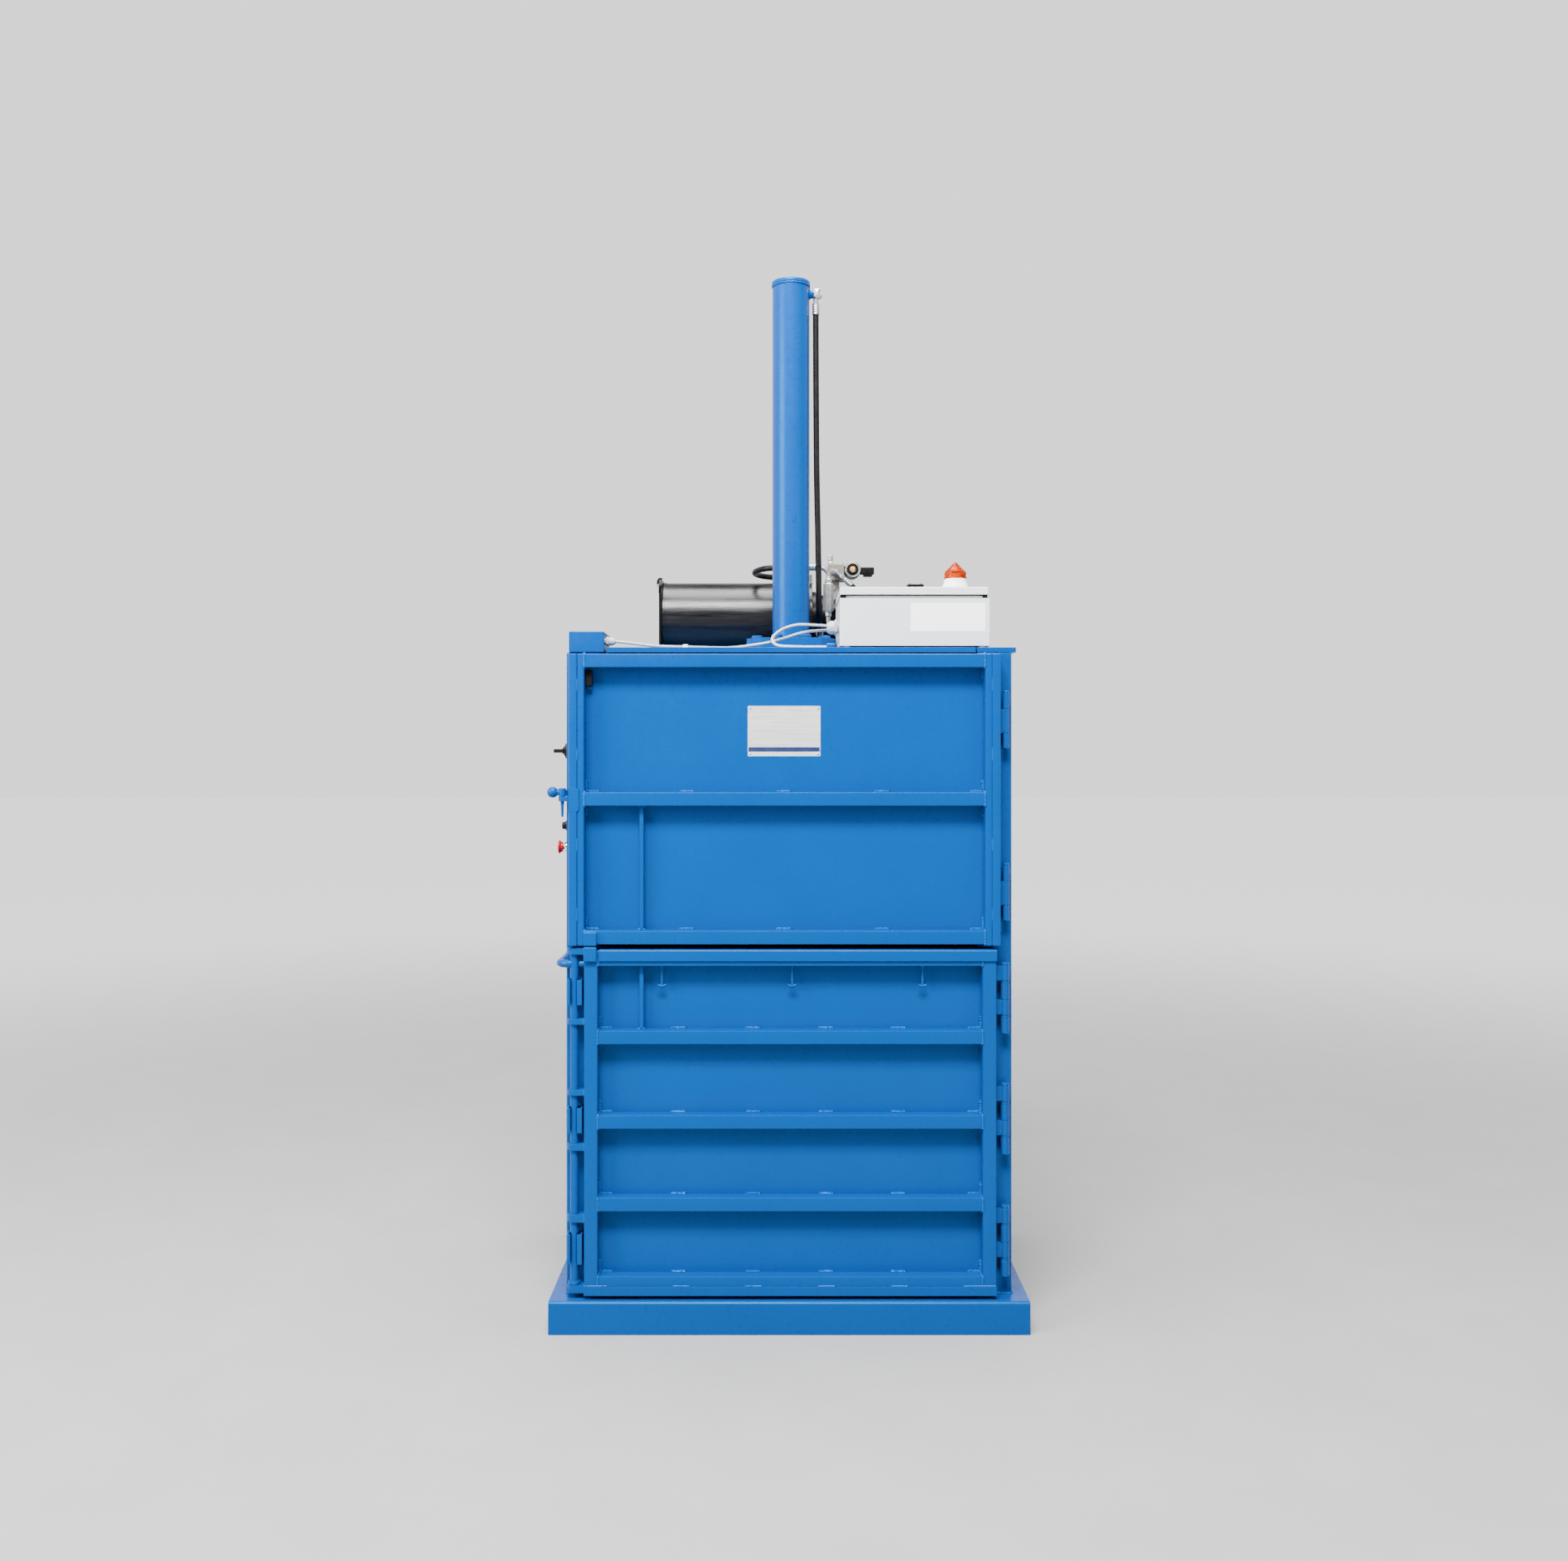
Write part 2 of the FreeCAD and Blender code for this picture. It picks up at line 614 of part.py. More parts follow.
def flange_bolts():
    """Eight hexagon bolts with nuts under the roof plate."""
    pieces = []
    nut = s.bolt_grip
    for x, y in bolt_places:
        shank_low = roof_low - nut - s.bolt_end
        pieces.append(fused([
            hexagon("z", (x, y, flange_top), s.bolt_head_tall, s.bolt_head),
            rod("z", (x, y, shank_low), flange_top - shank_low, s.bolt_shank),
            hexagon("z", (x, y, roof_low - nut), nut, s.bolt_head)]))
    return together(pieces)


def cylinder_gland():
    """The bush and seal carrier that the rod runs through."""
    outer = s.tube_inner / 2 - s.weld_fit
    bore = s.rod_dia / 2 + s.rod_fit
    collar = s.tube_outer / 2
    low = tube_low - s.head_thick
    profile = [(bore, low), (collar, low), (collar, tube_low), (outer, tube_low),
               (outer, gland_top), (bore, gland_top)]
    return turned(profile, (press_x, press_y, 0))


def piston_rod():
    """The chromed rod, with a smaller spigot for the piston."""
    radius = s.rod_dia / 2
    spigot = s.piston_spigot / 2
    profile = [(0, boss_high), (radius, boss_high), (radius, piston_low), (spigot, piston_low),
               (spigot, piston_high), (0, piston_high)]
    return turned(profile, (press_x, press_y, 0))


def piston():
    """The piston ring on the rod's spigot."""
    outer = s.tube_inner - s.piston_fit * 2
    bore = s.piston_spigot + s.weld_fit * 2
    return turned(ring(outer, bore, piston_low, piston_high), (press_x, press_y, 0))


platen_left = -inner + s.platen_gap
platen_right = inner - s.platen_gap
platen_front = door_rear + s.platen_front_gap
platen_rear = s.chamber_rear - s.platen_gap


def platen():
    """The press plate: strap slots below, stiffening ribs and a boss above."""
    corners = slotted((platen_left, platen_right), platen_low, s.platen_thick, False)
    face = plate("xz", corners, platen_rear, platen_rear - platen_front)
    rib = s.platen_rib
    z = (platen_top, boss_low)
    pieces = [face]
    for middle in (-s.platen_rib_place, -s.press_middle, s.platen_rib_place):
        pieces.append(block((middle, middle + rib), (platen_front, platen_rear), z))
    for middle in (press_y - s.platen_cross_place, press_y, press_y + s.platen_cross_place):
        pieces.append(block((platen_left, platen_right), (middle, middle + rib), z))
    pieces.append(rod("z", (press_x, press_y, boss_low), s.boss_thick, s.boss_dia))
    return fused(pieces)


def platen_shoes():
    """Four sliding shoes on the platen's ends, which run along the side walls."""
    pieces = []
    for side in (-1, 1):
        for middle in (press_y - s.platen_cross_place, press_y + s.platen_cross_place):
            near = platen_right if side > 0 else -platen_left
            x = mirror_span(side, near, inner - s.shoe_gap)
            y = (middle - s.shoe_width / 2, middle + s.shoe_width / 2)
            pieces.append(block(x, y, (platen_top, platen_top + s.shoe_tall)))
    return together(pieces)


# ---------------------------------------------------------------- upper door

upper_x = (-half + s.upper_left_in, half - s.upper_right_in)
upper_z = (s.lower_top + s.upper_low_gap, roof_low - s.upper_top_gap)
upper_inner = (upper_x[0] + s.upper_strip + s.upper_stile, upper_x[1] - s.upper_strip - s.upper_stile)
upper_mid = upper_z[1] - s.upper_rail_down
mid_rail = (upper_mid - s.tube_face / 2, upper_mid + s.tube_face / 2)
slim_rib_x = strap_places[0] - s.slim_rib_out
lower_x = (-half + s.lower_left_in, half - s.lower_right_in)
tab_x = (lower_x[0], lower_x[0] + s.tab_width)
tab_split = s.lower_top + s.tab_up
latch_x = upper_x[0] - s.latch_out
latch_low = upper_mid - s.latch_bracket_drop
latch_top = latch_low + s.latch_bracket_thick
hinge_y = front - s.hinge_ahead


def upper_door_frame():
    """The upper door's welded tubes: two stiles, three rails, a slim rib and a tab."""
    tube = (door_front, panel_face)
    strip = (door_front - s.strip_proud, panel_face)
    left = upper_x[0] + s.upper_strip
    right = upper_x[1] - s.upper_strip
    rail = s.tube_face
    pieces = [block((upper_x[0], left), strip, upper_z), block((right, upper_x[1]), strip, upper_z),
              block((left, upper_inner[0]), tube, upper_z),
              block((upper_inner[1], right), tube, upper_z)]
    bottom = upper_z[0] + s.upper_rail_up
    for low in (upper_z[1] - rail, mid_rail[0], bottom):
        pieces.append(block(upper_inner, tube, (low, low + rail)))
    pieces.append(slim_rib(bottom + rail, mid_rail[0]))
    pieces.append(block(tab_x, (door_front - s.tab_thick, door_front),
                        (tab_split + s.tab_gap, tab_split + s.tab_tall)))
    return fused(pieces)


def slim_rib(low, high):
    """The narrow upright rib on a door's panel."""
    return block((slim_rib_x - s.slim_rib / 2, slim_rib_x + s.slim_rib / 2),
                 (panel_face - s.slim_rib_deep, panel_face), (low, high))


def upper_door_sheet():
    """The upper door's flat sheet, behind its tubes."""
    return block(upper_x, (panel_face, door_rear), upper_z)


def door_magnet():
    """The coded magnet of the upper door's safety switch."""
    x = upper_inner[0]
    high = upper_z[1] - s.tube_face - s.magnet_drop
    return block((x, x + s.magnet_wide), (panel_face - s.magnet_deep, panel_face),
                 (high - s.magnet_tall, high))


def name_plate():
    """A plain plate on the upper panel."""
    middle = (upper_x[0] + upper_x[1]) / 2 - s.plate_aside
    level = (mid_rail[1] + upper_z[1] - s.tube_face) / 2 - s.plate_drop
    return block((middle - s.plate_wide / 2, middle + s.plate_wide / 2),
                 (panel_face - s.plate_thick, panel_face),
                 (level - s.plate_tall / 2, level + s.plate_tall / 2))


# ---------------------------------------------------------------- lower door

lower_inner = (lower_x[0] + s.tube_face, lower_x[1] - s.tube_face)
lip_top = s.lower_top
lower_low = deck + s.lower_low_gap
head_rail_low = lip_top - s.lip_thick - s.lower_head_tall
# Each ear's middle and thickness; the top one stands in line with the door's top edge.
EARS = ((lip_top - s.lip_thick, 19), (891, 16), (687, 16), (530, 19), (325, 22),
        (lower_low + 15, 22))
# Each keeper's lower and upper end.
KEEPERS = ((939, 1012), (571, 643), (193, 280))
lock_x = lower_x[0] - s.lock_out
lock_y = hinge_y


def lock_ears():
    """Six lugs on the lower door's left stile, bored for the lock shaft."""
    lugs = []
    radius = s.ear_deep / 2
    for middle, thick in EARS:
        lugs.append(rod("z", (lock_x, lock_y, middle - thick / 2), thick, s.ear_deep))
        lugs.append(block((lock_x, lower_x[0]), (lock_y - radius, lock_y + radius),
                          (middle - thick / 2, middle + thick / 2)))
    return lugs


def lower_door_frame():
    """The lower door's welded tubes with the lock's ears, a fixed peg and a tab."""
    tube = (door_front, panel_face)
    low, high = lower_low + s.foot_rail_up, lip_top - s.lip_thick
    rail = s.tube_face
    pieces = [block((lower_x[0], lower_inner[0]), tube, (low, high)),
              block((lower_inner[1], lower_x[1]), tube, (low, high)),
              block(lower_inner, tube, (head_rail_low, high)),
              block(lower_inner, tube, (low, low + rail))]
    for middle in (s.lower_rail_a, s.lower_rail_b, s.lower_rail_c):
        pieces.append(block(lower_inner, tube, (middle - rail / 2, middle + rail / 2)))
    pieces.append(slim_rib(s.lower_rail_a + rail / 2, head_rail_low))
    pieces.append(block(lower_x, (door_front - s.foot_bar_thick, door_front),
                        (lower_low, lower_low + s.foot_bar_tall)))
    pieces.append(block(lower_x, (door_front, panel_face), (lower_low, low)))
    pieces.append(block(tab_x, (door_front - s.tab_thick, door_front),
                        (lip_top - s.tab_down, tab_split)))
    peg_end = lock_x + s.lock_shaft_dia / 2 + s.peg_gap
    pieces.append(rod("x", (peg_end, lock_y, s.lever_level), lower_x[0] - peg_end, s.peg_dia))
    bores = [rod("z", (lock_x, lock_y, 0), lip_top * 2, s.lock_shaft_dia + s.ear_fit * 2)]
    return cut(fused(pieces + lock_ears()), bores)


def lower_door_sheet():
    """The lower door's flat sheet, behind its tubes."""
    return block(lower_x, (panel_face, door_rear), (lower_low, lip_top - s.lip_thick))


def lower_door_lip():
    """The folded lip along the lower door's top edge."""
    thick = s.lip_thick
    nose = door_front - thick
    low = lip_top - s.lip_tall
    corners = [(nose, low), (door_front, low), (door_front, lip_top - thick),
               (door_rear, lip_top - thick), (door_rear, lip_top), (nose, lip_top)]
    left = lower_x[0] + s.lip_left_in
    lip = plate("yz", corners, left, lower_x[1] - left)

    def nose_edge(edge):
        middle = edge.CenterOfMass
        return abs(middle.y - nose.value) < 1e-3 and abs(middle.z - lip_top.value) < 1e-3

    return rounded(lip, s.lip_round, nose_edge)


def strap_hooks():
    """Three hooks under the top rail, each a rod with a short bar across its end."""
    pieces = []
    y = panel_face - s.hook_ahead
    for x in strap_places:
        low = head_rail_low - s.hook_long
        pieces.append(fused([rod("z", (x, y, low), s.hook_long, s.hook_rod),
                             rod("x", (x - s.hook_bar / 2, y, low), s.hook_bar, s.hook_rod)]))
    return together(pieces)


# ---------------------------------------------------------------- hinges

leaf_y = (hinge_y - s.leaf_thick / 2, hinge_y + s.leaf_thick / 2)
upper_hinge_x = upper_x[1] + s.upper_hinge_out
lower_hinge_x = lower_x[1] + s.lower_hinge_out
UPPER_SETS = (upper_z[1] - s.upper_hinge_down, upper_z[0] + s.upper_hinge_up)
LOWER_SETS = (lip_top - s.lower_hinge_down, s.lower_hinge_mid, lower_low + s.lower_hinge_up)


def barrel(x, dia, low, high, leaf):
    """A hinge knuckle with its leaf, bored for the pin."""
    body = fused([rod("z", (x, hinge_y, low), high - low, dia), leaf])
    return cut(body, [pin_bore(x, low, high)])


def pin_bore(x, low, high):
    """The round tool that opens a knuckle or washer for its pin."""
    return rod("z", (x, hinge_y, low - TOOL_MORE), high - low + TOOL_MORE * 2,
               s.pin_dia + s.pin_fit * 2)


def door_leaf(x, edge, low, high):
    """The leaf that joins a knuckle to a door's edge."""
    return block((edge, x), leaf_y, (low, high))


def frame_leaf(x, low, high):
    """The leaf that joins a knuckle to the right post."""
    return block((x - s.leaf_thick / 2, x + s.leaf_thick / 2), (hinge_y, front), (low, high))


def upper_knuckle_spans(top):
    """Heights of one upper hinge's three knuckles, from the top down."""
    gap = s.knuckle_gap
    first = top - s.upper_knuckle_end
    second = first - gap - s.upper_knuckle_mid
    third = second - gap - s.upper_knuckle_end
    return (first, top), (second, first - gap), (third, second - gap)


def lower_knuckle_spans(top):
    """Heights of one lower hinge's knuckles and washers, from the top down."""
    spans = []
    high = top
    for tall in (s.lower_knuckle_tall, s.washer_tall, s.lower_knuckle_tall,
                 s.lower_knuckle_tall, s.washer_tall, s.lower_knuckle_tall):
        spans.append((high - tall, high))
        high = high - tall - s.knuckle_gap
    return spans


def upper_door_knuckles():
    """The upper door's two middle knuckles."""
    x = upper_hinge_x
    pieces = []
    for top in UPPER_SETS:
        low, high = upper_knuckle_spans(top)[1]
        pieces.append(barrel(x, s.upper_knuckle, low, high, door_leaf(x, upper_x[1], low, high)))
    return together(pieces)


def lower_door_knuckles():
    """The lower door's six knuckles, two on each hinge."""
    x = lower_hinge_x
    pieces = []
    for top in LOWER_SETS:
        spans = lower_knuckle_spans(top)
        for low, high in (spans[0], spans[3]):
            pieces.append(barrel(x, s.lower_knuckle, low, high,
                                 door_leaf(x, lower_x[1], low, high)))
    return together(pieces)


def frame_knuckles():
    """The knuckles on the right post, with the lower hinges' washers."""
    pieces = []
    x = upper_hinge_x
    for top in UPPER_SETS:
        spans = upper_knuckle_spans(top)
        for low, high in (spans[0], spans[2]):
            pieces.append(barrel(x, s.upper_knuckle, low, high, frame_leaf(x, low, high)))
    x = lower_hinge_x
    for top in LOWER_SETS:
        spans = lower_knuckle_spans(top)
        for knuckle, washer in ((spans[2], spans[1]), (spans[5], spans[4])):
            low, high = knuckle
            pieces.append(barrel(x, s.lower_knuckle, low, high, frame_leaf(x, low, high)))
            low, high = washer
            disc = rod("z", (x, hinge_y, low), high - low, s.lower_knuckle - s.washer_less)
            pieces.append(cut(disc, [pin_bore(x, low, high)]))
    return together(pieces)


def hinge_pins():
    """Five headed pins, one through each hinge."""
    pieces = []
    sets = [(upper_hinge_x, top, upper_knuckle_spans(top)[2][0], s.upper_knuckle)
            for top in UPPER_SETS]
    sets += [(lower_hinge_x, top, lower_knuckle_spans(top)[5][0], s.lower_knuckle)
             for top in LOWER_SETS]
    for x, top, low, dia in sets:
        head = top + s.knuckle_gap
        radius = s.pin_dia / 2
        wide = (dia - s.pin_head_less) / 2
        end = low - s.pin_end
        profile = [(0, end), (radius, end), (radius, head), (wide, head),
                   (wide, head + s.pin_head), (0, head + s.pin_head)]
        pieces.append(turned(profile, (x, hinge_y, 0)))
    return together(pieces)


# ---------------------------------------------------------------- lock and latch

def lock_shaft():
    """The lock's upright shaft: round in its ears, milled flat in the keepers."""
    x = lock_x
    dia = s.lock_shaft_dia
    high = EARS[0][0] + EARS[0][1] / 2
    shaft = rod("z", (x, lock_y, s.lock_low), as_length(high) - s.lock_low, dia)
    collar_low = EARS[-1][0] + EARS[-1][1] / 2 + s.knuckle_gap
    collar = rod("z", (x, lock_y, collar_low), s.lock_collar_tall, s.lock_collar)
    slabs = []
    for low, top in KEEPERS:
        z = (low - s.lock_flat_more, top + s.lock_flat_more)
        for side in (-1, 1):
            near, far = mirror_span(side, s.lock_flat / 2, dia)
            slabs.append(block((x + near, x + far), (lock_y - dia, lock_y + dia), z))
    return cut(fused([shaft, collar]), slabs)


def lock_lever():
    """The bent lever on the lock shaft, parked along the left wall."""
    x = lock_x
    turn = s.lever_bend
    handle_x = -half - s.lever_gap - s.lever_dia / 2
    straight = x - handle_x - turn
    level = s.lever_level
    torus = bend((x - straight, lock_y + turn, level), turn, s.lever_dia, "half")
    arm = rod("-x", (x, lock_y, level), straight, s.lever_dia)
    handle = rod("y", (handle_x, lock_y + turn, level), s.lever_long - turn, s.lever_dia)
    tip = ball((handle_x, lock_y + s.lever_long, level), s.lever_dia)
    bore = rod("z", (x, lock_y, level - s.lever_dia), s.lever_dia * 2, s.lock_shaft_dia)
    return cut(fused([arm, torus, handle, tip]), [bore])


def lock_keepers():
    """Three slotted keepers on the left post, in which the lock shaft turns."""
    back = (front - s.keeper_back, front)
    wall = s.keeper_wall
    reach = s.lock_shaft_dia / 2 + wall
    nose = lock_y - reach - s.keeper_gap
    lip_y = (nose, nose + wall)
    slot = (lock_x - s.keeper_slot / 2, lock_x + s.keeper_slot / 2)
    left, right = lock_x - reach - s.keeper_gap, lock_x + reach + s.keeper_gap_right
    pieces = []
    for z in KEEPERS:
        pieces.append(fused([
            block((left, right), back, z),
            block((left, left + wall), (lip_y[0], back[0]), z),
            block((right - wall, right), (lip_y[0], back[0]), z),
            block((left, slot[0]), lip_y, z), block((slot[1], right), lip_y, z)]))
    return together(pieces)


def latch_bracket():
    """The plate on the upper door's left edge that carries the latch's pin."""
    x = latch_x
    low = latch_low
    arm = block((x - s.latch_hub / 2, upper_x[0]), (hinge_y - s.latch_hub / 2,
                                                   hinge_y + s.latch_hub / 2), (low, latch_top))
    pin_low = low - s.latch_pin_drop
    tip = cone("z", (x, hinge_y, pin_low), s.latch_pin_drop, s.latch_pin_tip, s.latch_pin)
    pin = rod("z", (x, hinge_y, low), latch_top - low + s.latch_hub_tall, s.latch_pin)
    return fused([arm, tip, pin])


def latch_lever():
    """The upper door's latch: a hub on the pin, a ball grip and a closing tail."""
    x = latch_x
    low = latch_top + s.knuckle_gap
    high = low + s.latch_hub_tall
    hub = rod("z", (x, hinge_y, low), s.latch_hub_tall, s.latch_hub)
    middle = (low + high) / 2
    root = s.latch_hub / 2 - s.latch_root
    neck = rod("-x", (x - root, hinge_y, middle), s.latch_reach - root, s.latch_neck)
    grip = ball((x - s.latch_reach, hinge_y, middle), s.latch_ball, "half")
    tail_right = x - s.latch_tail_in
    tail = block((tail_right - s.latch_tail_thick, tail_right),
                 (hinge_y + root, hinge_y + s.latch_tail),
                 (low + s.latch_tail_low, high - s.latch_tail_high))
    bore = rod("z", (x, hinge_y, low - TOOL_MORE), s.latch_hub_tall + TOOL_MORE * 2,
               s.latch_pin + s.pin_fit * 2)
    return cut(fused([hub, neck, grip, tail]), [bore])


# ---------------------------------------------------------------- controls on the left wall

wall_x = -half
panel_y = (-s.panel_front, -s.panel_rear)
panel_z = (roof_low - s.panel_down - s.panel_tall, roof_low - s.panel_down)
knob_level = panel_z[1] - s.knob_down
stop_level = panel_z[0] + s.stop_up
start_level = panel_z[0] + s.start_up


def control_panel():
    """The shallow folded box on the left wall that carries the controls."""
    inner_x = -(inner + s.sheet_thick + s.rib_depth)
    fold = s.panel_sheet
    space = block((wall_x + fold, inner_x), (panel_y[0] + fold, panel_y[1] - fold),
                  (panel_z[0] + fold, panel_z[1] - fold))
    return cut(block((wall_x, inner_x), panel_y, panel_z), [space])


def outward(profile, level):
    """A turned control on the left wall, its axis pointing out of the wall."""
    return turned(profile, (wall_x, s.knob_depth, level), "-x")


def control_collars():
    """The fixed collars of the isolator, the stop button and the start button."""
    fit = s.control_fit
    rows = ((knob_level, s.knob_dia, s.knob_stem, s.knob_collar),
            (stop_level, s.stop_collar_dia, s.stop_stem, s.stop_collar_long),
            (start_level, s.start_collar_dia, s.start_dia, s.start_collar_long))
    return together([outward(ring(outer, bore + fit * 2, as_length(0), long), level)
                     for level, outer, bore, long in rows])


def isolator_knob():
    """The main switch's handle: a wide disc that flares down into a narrow grip."""
    stem, wide, waist = s.knob_stem / 2, s.knob_dia / 2, s.knob_neck / 2
    base = s.knob_collar + s.knuckle_gap
    rim = as_length(s.knob_disc)
    flare = rim + s.knob_flare
    profile = [(0, TOOL_MORE), (stem, TOOL_MORE), (stem, base), (wide, base), (wide, rim),
               (wide - s.knob_rim, rim + s.knob_rim / 2), (waist + s.knob_waist, flare),
               (waist, flare + s.knob_flare), (0, flare + s.knob_flare)]
    grip = block((wall_x - s.knob_long, wall_x - s.grip_root),
                 (s.knob_depth - s.grip_wide / 2, s.knob_depth + s.grip_wide / 2),
                 (knob_level - s.grip_thick / 2, knob_level + s.grip_thick / 2))
    return fused([outward(profile, knob_level), grip])


def stop_button():
    """The mushroom stop button: a neck that flares to the rim of its head."""
    stem, wide, neck = s.stop_stem / 2, s.stop_dia / 2, s.stop_neck / 2
    base = s.stop_travel + TOOL_MORE * 2
    under = s.stop_reach - s.stop_head
    far = s.stop_reach
    rim = far - s.stop_round - s.stop_rim
    crown = s.stop_crown / 2
    profile = [(0, base), (stem, base), (stem, under), (neck, under), (neck, rim - s.stop_rim),
               (wide, rim), (wide, rim + s.stop_rim / 2), (crown + s.stop_rim * 2, rim + s.stop_rim),
               (crown, far), (0, far)]
    return outward(profile, stop_level)


def start_button():
    """The round push button above the stop button."""
    wide = s.start_dia / 2
    base = s.start_travel * 2
    far = s.start_reach
    profile = [(0, base), (wide, base), (wide, far - s.start_round),
               (wide - s.start_round, far), (0, far)]
    return outward(profile, start_level)


# ---------------------------------------------------------------- boxes on the roof

switch_left = -half + s.switch_left_in
switch_x = (switch_left, switch_left + s.switch_wide)
switch_y = (front - s.switch_ahead, front - s.switch_ahead + s.switch_deep)
switch_z = (roof_low, roof_low + s.switch_tall)
small_gland_z = switch_z[0] + s.small_gland_up
large_gland_z = roof_top + s.large_gland_up
encl_x = (s.encl_left, s.encl_right)
encl_y = (-s.encl_front, -s.encl_front + s.encl_deep)
encl_low = roof_top + s.encl_foot_tall
encl_top = encl_low + s.encl_tall
lid_low = encl_top + s.encl_neck_tall
lid_top = lid_low + s.lid_tall


def inset(span, step):
    """A pair of limits drawn in by a step at both ends."""
    return (as_length(span[0]) + step, as_length(span[1]) - step)


def switch_box():
    """The closed steel box on the left post."""
    wall = s.switch_wall
    return cut(block(switch_x, switch_y, switch_z),
               [block(inset(switch_x, wall), inset(switch_y, wall), inset(switch_z, wall))])


def gland(axis, start, long, dia):
    """A cable gland: a hexagon against the wall and a smaller rounded nut."""
    x, y, z = start
    sign = 1 if axis == "x" else -1
    step = long * 0.4
    nut = cone(axis, (x + step * sign, y, z), long - step, dia * 0.86, dia * 0.66)
    return fused([hexagon(axis, start, step, dia * 0.95), nut])


def cable_glands():
    """The two boxes' cable glands and the low hood over the roof's cable hole."""
    small = gland("x", (switch_x[1], s.small_gland_depth, small_gland_z),
                  s.small_gland_long, s.small_gland_dia)
    large = gland("-x", (encl_x[0], s.large_gland_depth, large_gland_z),
                  s.large_gland_long, s.large_gland_dia)
    hood_y = (s.hood_depth - s.hood_wide / 2, s.hood_depth + s.hood_wide / 2)
    hood = block((s.hood_place, s.hood_place + s.hood_wide), hood_y,
                 (roof_top, roof_top + s.hood_tall))
    return together([small, large, hood])


def enclosure_body():
    """The electrical enclosure on its four feet, open at the top inside a raised neck."""
    wall = s.encl_wall
    neck = s.encl_neck
    neck_top = lid_low - s.knuckle_gap
    outer = block(encl_x, encl_y, (encl_low, encl_top))
    rim = block(inset(encl_x, neck), inset(encl_y, neck), (encl_top, neck_top))
    space = block(inset(encl_x, wall), inset(encl_y, wall), (encl_low + wall, encl_top - wall))
    mouth = block(inset(encl_x, neck + wall), inset(encl_y, neck + wall),
                  (encl_top - wall * 2, neck_top + TOOL_MORE))
    feet = [rod("z", (x, y, roof_top), s.encl_foot_tall, s.encl_foot)
            for x in inset(encl_x, s.encl_foot_in) for y in inset(encl_y, s.encl_foot_in)]
    return fused([cut(fused([outer, rim]), [space, mouth])] + feet)


RELAY_COUNT = 4


def control_gear():
    """The mounting plate inside the enclosure with its rail, relays and transformer."""
    low = encl_low + s.encl_wall
    board_z = (low + s.board_up, low + s.board_up + s.board_thick)
    x, y = inset(encl_x, s.board_in), inset(encl_y, s.board_in)
    posts = [rod("z", (px, py, low), s.board_up, s.board_post)
             for px in inset(x, s.board_post_in) for py in inset(y, s.board_post_in)]
    top = board_z[1]
    near = y[0] + s.gear_front
    pieces = [fused([block(x, y, board_z)] + posts)]
    for number in range(RELAY_COUNT):
        left = x[0] + s.relay_first + s.relay_pitch * number
        pieces.append(block((left, left + s.relay_wide), (near, near + s.relay_deep),
                            (top, top + s.relay_tall)))
    right = x[1] - s.supply_in
    pieces.append(block((right - s.supply_wide, right), (near, near + s.supply_deep),
                        (top, top + s.supply_tall)))
    far = y[1] - s.rail_back
    pieces.append(block((x[0] + s.rail_left, x[1] - s.rail_right), (far - s.rail_deep, far),
                        (top, top + s.rail_tall)))
    return together(pieces)


lid_y = encl_y[1] + s.lid_axis_back
lid_axis_z = (lid_low + lid_top) / 2
lid_hinges = (encl_x[0] + s.lid_hinge_left, encl_x[1] - s.lid_hinge_right)


def enclosure_lid():
    """The enclosure's shallow lid with its two hinge knuckles."""
    x = (encl_x[0] + s.lid_inset, encl_x[1] - s.lid_inset_right)
    skirt = s.lid_skirt
    long = s.lid_knuckle
    tray = cut(block(x, encl_y, (lid_low, lid_top)),
               [block(inset(x, skirt), inset(encl_y, skirt), (lid_low - TOOL_MORE, lid_top - skirt))])
    pieces = [tray]
    bores = []
    for left in lid_hinges:
        pieces.append(rod("x", (left, lid_y, lid_axis_z), long, s.hinge_pin_dia * 2))
        pieces.append(block((left, left + long), (encl_y[1], lid_y),
                            (lid_axis_z - s.lid_leaf / 2, lid_axis_z + s.lid_leaf / 2)))
        bores.append(rod("x", (left - TOOL_MORE, lid_y, lid_axis_z), long + TOOL_MORE * 2,
                         s.hinge_pin_dia + s.pin_fit * 2))
    return cut(fused(pieces), bores)


def lid_hinge_pins():
    """Two pins between ears on the enclosure's rear wall."""
    pieces = []
    gap = s.knuckle_gap
    ear = s.lid_ear
    far_y = lid_y + s.lid_ear_deep
    for left in lid_hinges:
        start = left - gap - ear
        parts = [rod("x", (start, lid_y, lid_axis_z), s.lid_knuckle + (gap + ear) * 2,
                     s.hinge_pin_dia)]
        for low_x in (start, left + s.lid_knuckle + gap):
            x = (low_x, low_x + ear)
            parts.append(block(x, (encl_y[1], far_y), (encl_top - s.lid_ear_long, encl_top)))
            parts.append(block(x, (encl_y[1] + s.lid_ear_gap, far_y), (encl_top, lid_axis_z)))
            parts.append(rod("x", (low_x, lid_y, lid_axis_z), ear, s.lid_ear_dia))
        pieces.append(fused(parts))
    return together(pieces)


beacon_low = lid_top
collar_low = beacon_low + s.beacon_base_tall
lens_low = collar_low + s.beacon_collar_tall


def beacon_base():
    """The warning light's foot and its collar."""
    wide, collar = s.beacon_base / 2, s.beacon_collar / 2
    edge = s.beacon_edge
    profile = [(0, beacon_low), (wide, beacon_low), (wide, collar_low - edge),
               (wide - edge, collar_low), (collar, collar_low), (collar, lens_low), (0, lens_low)]
    return turned(profile, (s.beacon_place, s.beacon_depth, 0))


